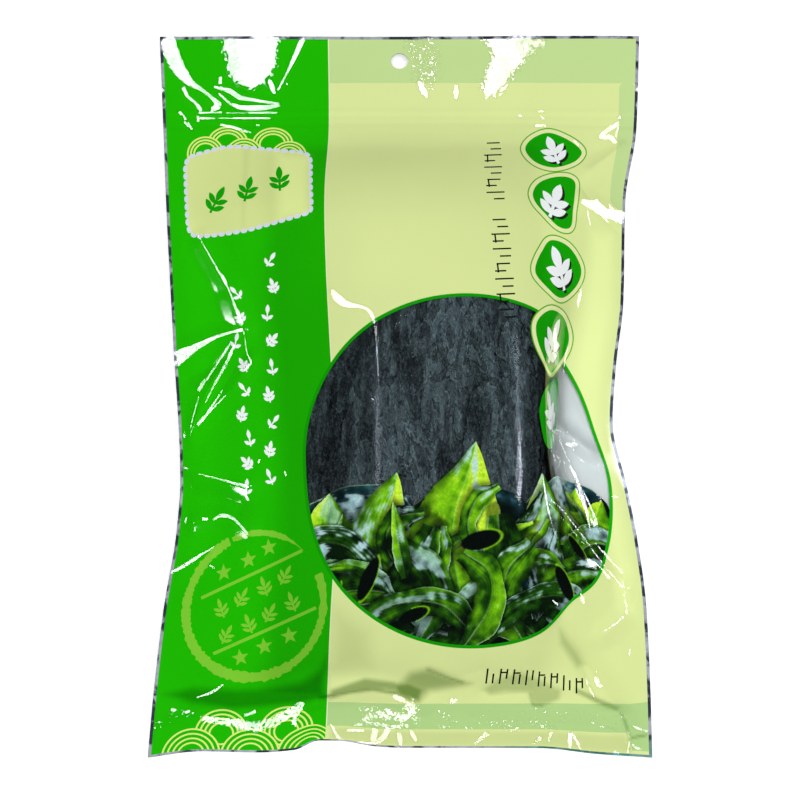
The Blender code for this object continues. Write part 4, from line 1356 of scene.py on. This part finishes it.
# Dark lines in the folds: light kept, half width, path.
SHADE_LINES = (
    (0.40, 1.5, ((-35.4, 23), (-28.7, 24.2), (-20.8, 26.1), (-12.2, 27.7),
                 (-1, 25.7), (6.3, 21.7))),
    (0.45, 1.6, ((7.7, 36.6), (12.5, 34.7), (18.3, 32.2), (24.8, 30.0))),
    (0.60, 1.4, ((6.3, 21.7), (2.6, 26.6), (-1.3, 31.5))),
    (0.55, 1.8, ((69.1, 27.2), (79.3, 22.3), (88.1, 18.7))),
    (0.70, 1.2, ((87.5, 18.7), (89.6, 14.3), (91.3, 7.4), (90.7, 1))),
    (0.62, 1.4, ((50.4, 27), (52.5, 20.6), (57, 20.3))),
    (0.55, 0.9, ((91.9, 7.4), (98.3, 9.2))),
)
SHADE_TINT = (1.12, 0.98, 1.22)


def fold_shade():
    """Share of red, green and blue kept in the shade of the folds."""
    dark, light = np.zeros_like(U), np.zeros_like(U)
    for kept, soft, outline in SHADES:
        outline = np.array(outline)
        within = inside(outline, U.ravel(), V.ravel()).reshape(U.shape)
        gap = away_from([*outline, outline[0]])[0]
        part = ease(0.4 + np.where(within, gap, -gap) / soft)
        dark = np.maximum(dark, (1 - kept) * part)
        light = np.maximum(light, (kept - 1) * part)
    for kept, half, path in SHADE_LINES:
        gap, share = away_from(path)
        part = ease(1 - gap / half) * ease(np.minimum(share, 1 - share) / 0.12 + 0.2)
        dark = np.maximum(dark, (1 - kept) * part)
    return (1 - dark[:, :, None] * np.array(SHADE_TINT)) * (1 + light[:, :, None])


FOLD_SHADE = fold_shade()


def print_colours(inks, corners):
    """The colour of each triangle's corners: its ink, dimmed over the
    contents and in the folds' shade."""
    palette = np.array([INKS[name] for name in INK_NAMES])
    cover = np.array([INK_COVER.get(name, PLAIN_COVER) for name in INK_NAMES])
    inks = np.repeat(inks, 3)
    u, v = corners.reshape(-1, 2).T
    light = mix(1.0, cover[inks], Sheet.read(CONTENTS, u, v))
    return palette[inks] * light[:, None] * Sheet.read(FOLD_SHADE, u, v)


# --------------------------------------------------------------- film meshes
# Spacing of the mesh over the print, the clear window and the leaf picture.
FRONT_STEPS = ((1.08, 0.62, 0.42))
BACK_STEP = 2.2
PICTURE_HIGH = 127.0
LINING_GAP = 1.3                 # from the front film down to the drawn-up lining
LINING_LIFT = 0.12               # from the back film up to it
LINING_BOX = (-48, 40), (97, 188)
MAP_SHIFT = 0.16                 # puts the film in the middle of its square map


def film_edge(step):
    """The film's edge, anticlockwise, with its two tear notches."""
    rise = list(np.linspace(0, FILM_L, round(FILM_L / step) + 1))
    rise = [v for v in rise if abs(v - NOTCH_V) > NOTCH_HALF + step * 0.6]
    rise += [NOTCH_V - NOTCH_HALF, NOTCH_V, NOTCH_V + NOTCH_HALF]
    rise.sort()
    side = [(HALF_W - NOTCH_DEPTH * (v == NOTCH_V), v) for v in rise]
    count = round(FILM_W / step)
    bottom = [(-HALF_W + FILM_W * i / count, 0.0) for i in range(count)]
    top = [(HALF_W - FILM_W * i / count, FILM_L) for i in range(1, count)]
    return bottom + side + top + [(-u, v) for u, v in reversed(side[1:])]


def film_points(step):
    """Staggered rows of points over the film, a little in from its edge."""
    rows = round(FILM_L / (0.87 * step))
    count = round(FILM_W / step)
    row, column = np.arange(1, rows)[:, None], np.arange(count)[None]
    u = -HALF_W + FILM_W * (column + 0.5 * (row % 2)) / count
    u, v = u.ravel(), (FILM_L * row / rows + 0 * u).ravel()
    kept = ((np.abs(u) < HALF_W - 0.6 * step)
            & (np.hypot(u, v - HOLE_V) > HOLE_D / 2 + step * 0.5))
    return np.stack([u[kept], v[kept]], axis=1)


def front_points():
    """Points over the front: closer in the window, closest in the picture."""
    found = []
    for step, chosen in zip(FRONT_STEPS, (0, 1, 2)):
        points = film_points(step)
        away = np.hypot(points[:, 0] - WINDOW_U, points[:, 1] - WINDOW_V)
        zone = (away < WINDOW_R).astype(int)
        zone += (zone == 1) & (points[:, 1] < PICTURE_HIGH)
        found.append(points[zone == chosen])
    found += [p for facet in FACETS for p in facet.points()]
    found = np.vstack(found)
    within = ((np.abs(found[:, 0]) < HALF_W - 0.3) & (found[:, 1] > 0.3)
              & (found[:, 1] < FILM_L - 0.3))
    return found[within]


def cut_film(step, outlines, points):
    """Triangles over the flat film, cut along its edge, hole and outlines."""
    edge = film_edge(step * 1.2)
    loops = [np.array(edge), circle(0, HOLE_V, HOLE_D / 2, 0.5), *outlines]
    hole = loops[1]
    links, start = [], 0
    for loop in loops:
        links += [(start + i, start + (i + 1) % len(loop))
                  for i in range(len(loop))]
        start += len(loop)
    verts, _, faces, _, _, _ = delaunay_2d_cdt(
        [Vector(p) for p in np.vstack([*loops, points])], links, [], 1, 1e-4)
    flat = np.array([(p.x, p.y) for p in verts])
    faces = np.array([tuple(f) for f in faces if len(f) == 3])
    middle = flat[faces].mean(axis=1)
    kept = ~inside(hole, middle[:, 0], middle[:, 1])
    return flat, faces[kept], middle[kept]


def new_object(name, places, faces, material, normals=None, smooth=True):
    """A mesh piece from places in millimetres."""
    mesh = bpy.data.meshes.new(name)
    mesh.vertices.add(len(places))
    mesh.vertices.foreach_set("co", (np.asarray(places) * MM).ravel())
    faces = np.asarray(faces)
    size = faces.shape[1]
    mesh.loops.add(faces.size)
    mesh.loops.foreach_set("vertex_index", faces.ravel())
    mesh.polygons.add(len(faces))
    mesh.polygons.foreach_set("loop_start", np.arange(len(faces)) * size)
    mesh.polygons.foreach_set("use_smooth", np.full(len(faces), smooth))
    mesh.update(calc_edges=True)
    mesh.validate()
    if normals is not None:
        mesh.normals_split_custom_set_from_vertices(np.asarray(normals))
    mesh.materials.append(material)
    piece = bpy.data.objects.new(name, mesh)
    bpy.context.scene.collection.objects.link(piece)
    return piece


def part_of(flat, faces, chosen):
    """The chosen faces alone, with only the places that they use."""
    faces = faces[chosen]
    used, again = np.unique(faces, return_inverse=True)
    return flat[used], again.reshape(faces.shape)


def flat_map(piece, flat):
    """Flat film coordinates as the piece's map."""
    layer = piece.data.uv_layers.new(name="OFBake")
    index = np.zeros(len(piece.data.loops), int)
    piece.data.loops.foreach_get("vertex_index", index)
    u = (flat[index, 0] + HALF_W) / FILM_L + MAP_SHIFT
    layer.data.foreach_set("uv", np.stack([u, flat[index, 1] / FILM_L], 1).ravel())


def film_piece(name, shape, flat, faces, chosen, material, turned_over=False):
    """A piece of film; shape gives places and normals at flat places."""
    flat, faces = part_of(flat, faces, chosen)
    places, normals = shape(flat[:, 0], flat[:, 1])
    if turned_over:
        faces, normals = faces[:, ::-1], -normals
    piece = new_object(name, places, faces, material, normals)
    flat_map(piece, flat)
    return piece


def ink_attribute(piece, colours):
    layer = piece.data.color_attributes.new("ink", "FLOAT_COLOR", "CORNER")
    full = np.ones((len(colours), 4))
    full[:, :3] = colours
    layer.data.foreach_set("color", full.ravel())


def rim(name, material):
    """The cut edge of the film: a thin wall from front to back, hole too."""
    edge = np.array(film_edge(1.0))
    hole = circle(0, HOLE_V, HOLE_D / 2, 0.5)[::-1]
    places, faces = [], []
    for loop in (edge, hole):
        start = sum(len(p) for p in places)
        count = len(loop)
        places.append(FRONT.at(loop[:, 0], loop[:, 1])[0])
        places.append(BACK.at(loop[:, 0], loop[:, 1])[0])
        for i in range(count):
            j = (i + 1) % count
            faces.append((start + count + i, start + count + j, start + j))
            faces.append((start + count + i, start + j, start + i))
    return new_object(name, np.vstack(places), faces, material, smooth=False)


# ---------------------------------------------------------------- the strands
CORE_LEFT, CORE_LOW, CORE_HIGH = -66, 20, 250
CORE_DROP = 3.4                  # from the front film down to the core
CORE_LIFT = 0.6                  # from the back film up to the core


def bundle_depth(u, v):
    """How far in from the bundle's edge a place is, 0 to 1."""
    side = np.minimum(ease((u - CORE_LEFT) / 10), ease((BUNDLE_RIGHT + 2.5 - u) / 5))
    ends = np.minimum(ease((v - CORE_LOW) / 16), ease((CORE_HIGH - v) / 14))
    return np.minimum(side, ends)


def core(material):
    """The plain inside of the bundle, which the film hides."""
    us = np.linspace(CORE_LEFT, BUNDLE_RIGHT + 1, 62)
    vs = np.linspace(CORE_LOW, CORE_HIGH, 93)
    u, v = (g.ravel() for g in np.meshgrid(us, vs))
    over, under = FRONT.at(u, v)[0], BACK.at(u, v)[0]
    depth = bundle_depth(u, v)
    top = np.maximum(over[:, 2] - CORE_DROP, under[:, 2] + 1.2)
    top = mix(under[:, 2] + 1.0, top, depth ** 0.6)
    places = np.vstack([np.column_stack([over[:, :2], top]),
                        np.column_stack([over[:, :2], under[:, 2] + CORE_LIFT])])
    n, m = len(us), len(vs)
    faces = []
    for j in range(m - 1):
        for i in range(n - 1):
            a = j * n + i
            faces.append((a, a + 1, a + n + 1, a + n))
            b = n * m + a
            faces.append((b, b + n, b + n + 1, b + 1))
    border = (list(range(n)) + [j * n + n - 1 for j in range(1, m)]
              + [(m - 1) * n + i for i in range(n - 2, -1, -1)]
              + [j * n for j in range(m - 2, 0, -1)])
    for a, b in zip(border, border[1:] + border[:1]):
        faces.append((b, a, a + n * m, b + n * m))
    return new_object("wakame_core", places, faces, material)


STRANDS = 260
STRAND_STEPS = 62
STRAND_ACROSS = (-0.5, -0.18, 0.18, 0.5)
STRANDS_LEFT, STRANDS_LOW, STRANDS_HIGH = -70, 18, 252
SHALLOWEST, FLOOR_GAP = 0.25, 0.4    # least room to the film above and below
SWIRL = (20.0, 142.0, 20.0)      # place and size of the strands' swirl


def strand(draw, lead):
    """One dried strip: places of its section's loops, from end to end."""
    length = draw.uniform(26, 95)
    u, v = draw.uniform(-46, BUNDLE_RIGHT - 1), draw.uniform(84, 190)
    s = np.linspace(0, 1, STRAND_STEPS)
    step = length / (STRAND_STEPS - 1)
    lean = draw.normal(0, 0.16)
    bend = sum(draw.normal(0, 0.10) * np.sin(k * 5 * s + draw.uniform(0, 6))
               for k in (1, 2, 3, 6, 9))
    path, turns = [], []
    v -= length / 2
    for extra in bend:
        x, y = u - SWIRL[0], v - SWIRL[1]
        near = math.exp(-(x * x + y * y) / (2 * SWIRL[2] ** 2))
        turn = (math.pi / 2 + lean + extra + 0.30 * math.sin(u / 13) * math.cos(v / 21)
                + near * (0.9 * math.tanh(y / 9) * (-1 if x < 0 else 1)))
        u, v = u + step * math.cos(turn), v + step * math.sin(turn)
        path.append((u, v))
        turns.append(turn)
    path, turns = np.array(path), np.array(turns)
    path[:, 0] = BUNDLE_RIGHT - np.abs(BUNDLE_RIGHT - path[:, 0]) - 0.4
    width = draw.uniform(2.0, 7.0) * (0.3 + 0.7 * np.sin(np.pi * s) ** 0.4)
    width *= 1 + 0.22 * draw.uniform(-1, 1, STRAND_STEPS)
    rough = draw.uniform(-1, 1, (STRAND_STEPS, len(STRAND_ACROSS)))
    rough = 0.34 * (rough + 0.5 * np.roll(rough, 1, axis=0))
    ruffle = draw.uniform(0.1, 0.4) * np.sin(
        s[:, None] * length / draw.uniform(0.5, 1.6) + draw.uniform(0, 6)
        + np.arange(len(STRAND_ACROSS)) * draw.uniform(0, 1.4))
    curl = draw.uniform(-0.5, 0.8)
    depth = 0.7 + 2.4 * lead
    top, under = [], []
    for t, wave in zip(STRAND_ACROSS, (rough + ruffle).T):
        a = path[:, 0] - np.sin(turns) * t * width
        b = path[:, 1] + np.cos(turns) * t * width
        top.append(np.column_stack([a, b, curl * 4 * t * t + wave - depth]))
        if abs(t) == max(STRAND_ACROSS):
            under.append(np.column_stack([a, b, curl + wave - depth - 0.35]))
    return np.stack(top + under[::-1], axis=1)


def strands(material):
    """Dried strips over the top of the bundle, the deepest first."""
    draw = np.random.default_rng(SEED + 11)
    places, faces = [], []
    start = 0
    for k in range(STRANDS):
        loops = strand(draw, 1 - (k + 1) / STRANDS)
        steps, sides = loops.shape[:2]
        flat = loops.reshape(-1, 3)
        u = np.clip(flat[:, 0], STRANDS_LEFT, BUNDLE_RIGHT + 1)
        v = np.clip(flat[:, 1], STRANDS_LOW, STRANDS_HIGH)
        over, normal = FRONT.at(u, v)
        drop = np.minimum(flat[:, 2], -SHALLOWEST)
        place = over + normal * drop[:, None]
        floor = BACK.at(u, v)[0][:, 2] + FLOOR_GAP
        place[:, 2] = np.maximum(place[:, 2], floor)
        places.append(place)
        row, side = np.meshgrid(np.arange(steps - 1), np.arange(sides), indexing="ij")
        a = (start + row * sides + side).ravel()
        b = (start + row * sides + (side + 1) % sides).ravel()
        faces.append(np.stack([a, b, b + sides], axis=1))
        faces.append(np.stack([a, b + sides, a + sides], axis=1))
        for end, turn in ((0, 1), (steps - 1, -1)):
            ring = [start + end * sides + j for j in range(sides)][::turn]
            faces.append(np.array([(ring[0], ring[j + 1], ring[j])
                                   for j in range(1, sides - 1)]))
        start += steps * sides
    faces = np.vstack(faces)
    print("wakame_strands", len(faces), "triangles")
    return new_object("wakame_strands", np.vstack(places), faces, material,
                      smooth=False)


# ------------------------------------------------------------------ materials
def group(name, inputs, outputs):
    tree = bpy.data.node_groups.new(name, "ShaderNodeTree")
    for label, kind, value in inputs:
        socket = tree.interface.new_socket(label, in_out="INPUT", socket_type=kind)
        if value is not None:
            socket.default_value = value
    for label, kind in outputs:
        tree.interface.new_socket(label, in_out="OUTPUT", socket_type=kind)
    return tree, tree.nodes.new("NodeGroupInput"), tree.nodes.new("NodeGroupOutput")


def noise(tree, vector, scale, detail, distortion=0.0):
    node = tree.nodes.new("ShaderNodeTexNoise")
    node.inputs["Detail"].default_value = detail
    node.inputs["Distortion"].default_value = distortion
    tree.links.new(vector, node.inputs["Vector"])
    if isinstance(scale, float):
        node.inputs["Scale"].default_value = scale
    else:
        tree.links.new(scale, node.inputs["Scale"])
    return node.outputs["Fac"]


def ranged(tree, value, low, high, start=0.0, end=1.0):
    """The value, start to end, spread from low to high."""
    node = tree.nodes.new("ShaderNodeMapRange")
    tree.links.new(value, node.inputs["Value"])
    node.inputs["From Min"].default_value = start
    node.inputs["From Max"].default_value = end
    for label, limit in (("To Min", low), ("To Max", high)):
        if isinstance(limit, float):
            node.inputs[label].default_value = limit
        else:
            tree.links.new(limit, node.inputs[label])
    return node.outputs["Result"]


def combined(tree, operation, *values):
    """A maths node over sockets and numbers."""
    node = tree.nodes.new("ShaderNodeMath")
    node.operation = operation
    for i, value in enumerate(values):
        if isinstance(value, float):
            node.inputs[i].default_value = value
        else:
            tree.links.new(value, node.inputs[i])
    return node.outputs["Value"]


def plain_colour(tree, colour):
    node = tree.nodes.new("ShaderNodeRGB")
    node.outputs[0].default_value = (*colour, 1)
    return node.outputs[0]


def scaled_colour(tree, colour, value):
    node = tree.nodes.new("ShaderNodeVectorMath")
    node.operation = "SCALE"
    tree.links.new(colour, node.inputs[0])
    tree.links.new(value, node.inputs["Scale"])
    return node.outputs[0]


def mixed_colour(tree, share, a, b):
    node = tree.nodes.new("ShaderNodeMix")
    node.data_type = "RGBA"
    tree.links.new(share, node.inputs["Factor"])
    tree.links.new(a, node.inputs["A"])
    tree.links.new(b, node.inputs["B"])
    return node.outputs["Result"]


def drawn_out(tree, where, share):
    """The place, with what is laid out there stretched along the pouch."""
    node = tree.nodes.new("ShaderNodeMapping")
    node.inputs["Scale"].default_value = (1.0, share, 1.0)
    tree.links.new(where, node.inputs["Vector"])
    return node.outputs["Vector"]


def film_surface_group():
    """Uneven gloss and, in patches, the fine orange peel of stretched film."""
    tree, given, out = group(
        "film_surface",
        [("Vector", "NodeSocketVector", None), ("Grain", "NodeSocketFloat", 1800.0),
         ("Smoothest", "NodeSocketFloat", 0.04), ("Roughest", "NodeSocketFloat", 0.08)],
        [("Roughness", "NodeSocketFloat"), ("Height", "NodeSocketFloat")])
    wide = noise(tree, given.outputs["Vector"], 60.0, 4.0)
    peel = noise(tree, given.outputs["Vector"], given.outputs["Grain"], 2.0)
    patches = noise(tree, given.outputs["Vector"], 75.0, 2.0)
    steep = ranged(tree, patches, 0.35, 1.0, 0.42, 0.62)
    rough = ranged(tree, wide, given.outputs["Smoothest"], given.outputs["Roughest"])
    tree.links.new(rough, out.inputs["Roughness"])
    tree.links.new(combined(tree, "MULTIPLY", peel, steep), out.inputs["Height"])
    return tree


def mottle_group():
    """A colour made a little lighter and darker in soft patches."""
    tree, given, out = group(
        "mottle",
        [("Color", "NodeSocketColor", None), ("Vector", "NodeSocketVector", None),
         ("Scale", "NodeSocketFloat", 40.0), ("Dark", "NodeSocketFloat", 0.9),
         ("Light", "NodeSocketFloat", 1.05)],
        [("Color", "NodeSocketColor")])
    patches = noise(tree, given.outputs["Vector"], given.outputs["Scale"], 5.0)
    value = ranged(tree, patches, given.outputs["Dark"], given.outputs["Light"])
    scaled = scaled_colour(tree, given.outputs["Color"], value)
    tree.links.new(scaled, out.inputs["Color"])
    return tree


FILM_SURFACE = film_surface_group()
MOTTLE = mottle_group()
PEEL_DEPTH = 0.000028            # metres, as all depths and places from here on
PEEL_GRAIN = 1800.0
CLEAR_TINT = (0.96, 0.97, 0.97, 1)
# Colour, metal, smoothest, roughest, grain and depth of the two plain foils.
FOIL_BACK = linear(196, 200, 203), 0.45, 0.22, 0.42, 260.0, 0.0005
FOIL_LINING = linear(223, 229, 227), 0.05, 0.28, 0.5, 260.0, 0.0003
# Painted reflections of the crinkled margin foil: its bright and its dark lengths.
EDGE_REFLECTION_BRIGHT = linear(196, 200, 208)
EDGE_REFLECTION_DARK = linear(62, 68, 84)
EDGE_STAIN = linear(70, 150, 128)
STAIN_SHARE = 0.7
STAIN_Y = (-0.143, -0.138)       # full up to the first, gone by the second
STAIN_X = (0.030, 0.048)         # none before the first, full from the second
# The strands: their colour, and each noise as scale, detail and distortion.
STRAND_PAINT = linear(54, 65, 68)
GRIT = (1000.0, 4.0, 1.6)
LOBES = (150.0, 4.0, 2.4)
BANDS = (130.0, 4.0, 0.8)
WISPS = (420.0, 4.0, 2.4)
WRINKLES = (1300.0, 6.0, 0.8)
WRINKLE_DEPTH = 0.0004
STRANDS_DIM_X = (-0.046, -0.014)    # the bundle's left is in half shade
FLOOR_PAINT = (0.96, 0.96, 0.96)
FLOOR_GLOW = 0.35


def new_material(name):
    mat = bpy.data.materials.new(name)
    mat.use_nodes = True
    tree = mat.node_tree
    shader = tree.nodes["Principled BSDF"]
    where = tree.nodes.new("ShaderNodeTexCoord").outputs["Object"]
    return mat, tree, shader, where


def place_group(tree, made, **values):
    node = tree.nodes.new("ShaderNodeGroup")
    node.node_tree = made
    for label, value in values.items():
        if isinstance(value, bpy.types.NodeSocket):
            tree.links.new(value, node.inputs[label])
        else:
            node.inputs[label].default_value = value
    return node


def bump(tree, height, distance, target):
    node = tree.nodes.new("ShaderNodeBump")
    node.inputs["Distance"].default_value = distance
    tree.links.new(height, node.inputs["Height"])
    tree.links.new(node.outputs["Normal"], target)


def mottled(tree, shader, where, colour, scale, dark, light):
    """Give the shader a colour that goes a little lighter and darker."""
    tone = place_group(tree, MOTTLE, Color=colour, Vector=where, Scale=scale,
                       Dark=dark, Light=light)
    tree.links.new(tone.outputs["Color"], shader.inputs["Base Color"])


def glossed(tree, shader, where, smoothest, roughest, grain, depth):
    """Give the shader uneven gloss and fine relief, and return the relief."""
    skin = place_group(tree, FILM_SURFACE, Vector=where, Grain=grain,
                       Smoothest=smoothest, Roughest=roughest)
    tree.links.new(skin.outputs["Roughness"], shader.inputs["Roughness"])
    bump(tree, skin.outputs["Height"], depth, shader.inputs["Normal"])
    return skin.outputs["Height"]


def printed_film_material():
    mat, tree, shader, where = new_material("printed_film")
    ink = tree.nodes.new("ShaderNodeAttribute")
    ink.attribute_name = "ink"
    mottled(tree, shader, where, ink.outputs["Color"], 35.0, 0.97, 1.03)
    peel = glossed(tree, shader, where, 0.04, 0.08, PEEL_GRAIN, PEEL_DEPTH)
    shader.inputs["Specular IOR Level"].default_value = 0.4
    shader.inputs["Coat Weight"].default_value = 1.0
    shader.inputs["Coat Roughness"].default_value = 0.04
    shader.inputs["Coat IOR"].default_value = 1.6
    bump(tree, peel, PEEL_DEPTH, shader.inputs["Coat Normal"])
    return mat


def window_film_material():
    """Clear film: see-through, with the film's gloss on top by Fresnel."""
    mat, tree, shader, where = new_material("window_film")
    tree.nodes.remove(shader)
    gloss = tree.nodes.new("ShaderNodeBsdfGlossy")
    peel = glossed(tree, gloss, where, 0.03, 0.06, PEEL_GRAIN, PEEL_DEPTH)
    clear = tree.nodes.new("ShaderNodeBsdfTransparent")
    clear.inputs["Color"].default_value = CLEAR_TINT
    fresnel = tree.nodes.new("ShaderNodeFresnel")
    fresnel.inputs["IOR"].default_value = 1.7
    bump(tree, peel, PEEL_DEPTH, fresnel.inputs["Normal"])
    both = tree.nodes.new("ShaderNodeMixShader")
    tree.links.new(fresnel.outputs["Fac"], both.inputs["Fac"])
    tree.links.new(clear.outputs["BSDF"], both.inputs[1])
    tree.links.new(gloss.outputs["BSDF"], both.inputs[2])
    out = tree.nodes["Material Output"]
    tree.links.new(both.outputs["Shader"], out.inputs["Surface"])
    return mat


def foil_material(name, colour, metallic, smoothest, roughest, grain, depth):
    mat, tree, shader, where = new_material(name)
    mottled(tree, shader, where, plain_colour(tree, colour), 90.0, 0.82, 1.06)
    glossed(tree, shader, where, smoothest, roughest, grain, depth)
    shader.inputs["Metallic"].default_value = metallic
    return mat


def edge_foil_material():
    """The bare margin: bright and dark lengths of foil by turns, painted
    reflections of the crinkled foil, and a stain at the right end of its foot."""
    mat, tree, shader, where = new_material("foil_edge")
    # painted reflection: dark and bright lengths of foil by turns
    lengths = ranged(tree, noise(tree, where, 150.0, 3.0, 0.4), 0.0, 1.0, 0.46, 0.54)
    foil = mixed_colour(tree, lengths, plain_colour(tree, EDGE_REFLECTION_DARK),
                        plain_colour(tree, EDGE_REFLECTION_BRIGHT))
    split = tree.nodes.new("ShaderNodeSeparateXYZ")
    tree.links.new(where, split.inputs[0])
    low = ranged(tree, split.outputs["Y"], 1.0, 0.0, *STAIN_Y)
    right = ranged(tree, split.outputs["X"], 0.0, 1.0, *STAIN_X)
    share = combined(tree, "MULTIPLY", low, right)
    share = combined(tree, "MULTIPLY", share, STAIN_SHARE)
    stained = mixed_colour(tree, share, foil, plain_colour(tree, EDGE_STAIN))
    # strong mottling breaks the painted reflections up into short dashes
    mottled(tree, shader, where, stained, 500.0, 0.45, 1.35)
    glossed(tree, shader, where, 0.14, 0.30, 900.0, 0.00006)
    shader.inputs["Metallic"].default_value = 0.35
    return mat


def wakame_material():
    """Dried strands: near black, wrinkled along their length, dull sheen."""
    mat, tree, shader, where = new_material("dried_wakame")
    along = drawn_out(tree, where, 0.35)
    light = ranged(tree, noise(tree, along, *GRIT), 0.6, 1.5, 0.36, 0.66)
    lobes = noise(tree, along, *LOBES)
    broad = ranged(tree, lobes, 0.72, 1.3, 0.42, 0.58)
    light = combined(tree, "MULTIPLY", light, broad)
    # dark cracks and pale ridges round the lobes
    crack = combined(tree, "COMPARE", lobes, 0.46, 0.014)
    crack = combined(tree, "MULTIPLY_ADD", crack, -0.7, 1.0)
    light = combined(tree, "MULTIPLY", light, crack)
    ridge = combined(tree, "COMPARE", lobes, 0.51, 0.009)
    light = combined(tree, "MULTIPLY_ADD", ridge, 1.5, light)
    # long light and dark bands, and the half shade at the left
    bands = noise(tree, drawn_out(tree, where, 0.14), *BANDS)
    bands = ranged(tree, bands, 0.30, 1.45, 0.40, 0.58)
    split = tree.nodes.new("ShaderNodeSeparateXYZ")
    tree.links.new(where, split.inputs[0])
    side = ranged(tree, split.outputs["X"], 0.5, 1.0, *STRANDS_DIM_X)
    side = combined(tree, "MULTIPLY", bands, side)
    light = combined(tree, "MULTIPLY", light, side)
    wisp = combined(tree, "COMPARE", noise(tree, along, *WISPS), 0.5, 0.012)
    light = combined(tree, "MULTIPLY_ADD", wisp, 1.8, light)
    paint = scaled_colour(tree, plain_colour(tree, STRAND_PAINT), light)
    tree.links.new(paint, shader.inputs["Base Color"])
    wrinkle = noise(tree, along, *WRINKLES)
    tree.links.new(ranged(tree, wrinkle, 0.42, 0.64), shader.inputs["Roughness"])
    bump(tree, wrinkle, WRINKLE_DEPTH, shader.inputs["Normal"])
    return mat


def floor_material():
    mat, tree, shader, where = new_material("studio_floor")
    mottled(tree, shader, where, plain_colour(tree, FLOOR_PAINT), 3.0, 0.99, 1.01)
    shader.inputs["Emission Color"].default_value = (*FLOOR_PAINT, 1)
    shader.inputs["Emission Strength"].default_value = FLOOR_GLOW
    shader.inputs["Roughness"].default_value = 0.9
    shader.inputs["Specular IOR Level"].default_value = 0.0
    return mat


# ------------------------------------------------------------- stage and view
def camera():
    data = bpy.data.cameras.new("camera")
    data.lens = LENS
    data.sensor_width = 36.0
    seen_from = bpy.data.objects.new("camera", data)
    seen_from.location = CAMERA_AT
    seen_from.rotation_euler = (CAMERA_TILT, 0.0, 0.0)
    bpy.context.scene.collection.objects.link(seen_from)
    bpy.context.scene.camera = seen_from


def lights():
    for name, (_, _, width, length, radiance) in PANELS.items():
        data = bpy.data.lights.new(name, "AREA")
        data.shape = "RECTANGLE"
        data.size, data.size_y = width, length
        data.energy = radiance * width * length * math.pi
        cool = name.startswith(("crest", "ridge"))
        data.color = COOL_LIGHT if cool else WHITE_LIGHT
        panel = bpy.data.objects.new(name, data)
        middle, side, along, back = panel_frame(name)
        panel.location = middle
        axes = Matrix([list(way) for way in (side, along, back)]).transposed()
        panel.rotation_euler = axes.to_euler()
        panel.visible_glossy = name != UNREFLECTED
        bpy.context.scene.collection.objects.link(panel)
    world = bpy.data.worlds.new("studio")
    world.use_nodes = True
    world.node_tree.nodes["Background"].inputs["Color"].default_value = WORLD_COLOUR
    bpy.context.scene.world = world
    bpy.context.scene.view_settings.view_transform = "Standard"


def stage_floor():
    """A pale floor, which the film doesn't mirror."""
    side = 1.5
    places = [(-side, -side, 0), (side, -side, 0), (side, side, 0), (-side, side, 0)]
    floor = new_object("studio_floor", np.array(places) / MM, [(0, 1, 2, 3)],
                       floor_material())
    floor.visible_glossy = False


# ---------------------------------------------------------------- put together
def design():
    art = Print()
    background(art)
    plaque(art)
    slogan_columns(art)
    stamp(art)
    corner_waves(art)
    window(art)
    picture(art)
    pebbles(art)
    black_marks(art)
    return art


def front_pieces():
    art = design()
    flat, faces, middle = cut_film(FRONT_STEPS[0], [o for _, o in art.shapes],
                                   front_points())
    inks = art.ink_at(middle[:, 0], middle[:, 1])
    edge = HALF_W - MARGIN
    bare = ((np.abs(middle[:, 0]) > edge) | (middle[:, 1] < MARGIN * 0.8)
            | (middle[:, 1] > FILM_L - MARGIN))
    clear = ~bare & (inks == INK_NAMES.index("clear"))
    leaves = ~bare & (inks == INK_NAMES.index("frond"))
    inked = ~(bare | clear | leaves)
    printed = printed_film_material()
    pieces = []
    for name, chosen, material in (("printed_film", inked, printed),
                                   ("leaf_picture", leaves, printed),
                                   ("window_film", clear, window_film_material()),
                                   ("foil_edge", bare, edge_foil_material())):
        pieces.append(film_piece(name, front_film, flat, faces, chosen, material))
        print(name, chosen.sum(), "triangles")
    corners = flat[faces]
    ink_attribute(pieces[0], print_colours(inks[inked], corners[inked]))
    inset = mix(corners[leaves], middle[leaves][:, None], 0.1).reshape(-1, 2)
    ink_attribute(pieces[1], picture_colours(inset[:, 0], inset[:, 1]))
    pieces.append(rim("film_cut_edge", pieces[3].data.materials[0]))
    return pieces


def lining_shape(u, v):
    """The inside of the back film, drawn up to the front beside the bundle."""
    low, low_normal = BACK.at(u, v, lift=LINING_LIFT)
    high, high_normal = FRONT.at(u, v, lift=-LINING_GAP)
    share = 0.94 * ease((u - BUNDLE_RIGHT - 4) / 8)[:, None]
    place = mix(low, high, share)
    place[:, 2] = np.maximum(place[:, 2], low[:, 2])
    return place, unit(mix(low_normal, high_normal, share))


def back_pieces():
    flat, faces, middle = cut_film(BACK_STEP, [], film_points(BACK_STEP))
    back = film_piece("back_film", BACK.at, flat, faces, np.arange(len(faces)),
                      foil_material("foil_back", *FOIL_BACK), turned_over=True)
    shown = in_box(middle[:, 0], middle[:, 1], *LINING_BOX)
    lining = film_piece("foil_lining", lining_shape, flat, faces, shown,
                        foil_material("foil_lining", *FOIL_LINING))
    return [back, lining]


def content_pieces():
    mat = wakame_material()
    return [core(mat), strands(mat)]


def build():
    camera()
    lights()
    stage_floor()
    pieces = front_pieces() + back_pieces() + content_pieces()
    for piece in pieces:
        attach(piece, "root")
        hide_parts("pouch")


build()
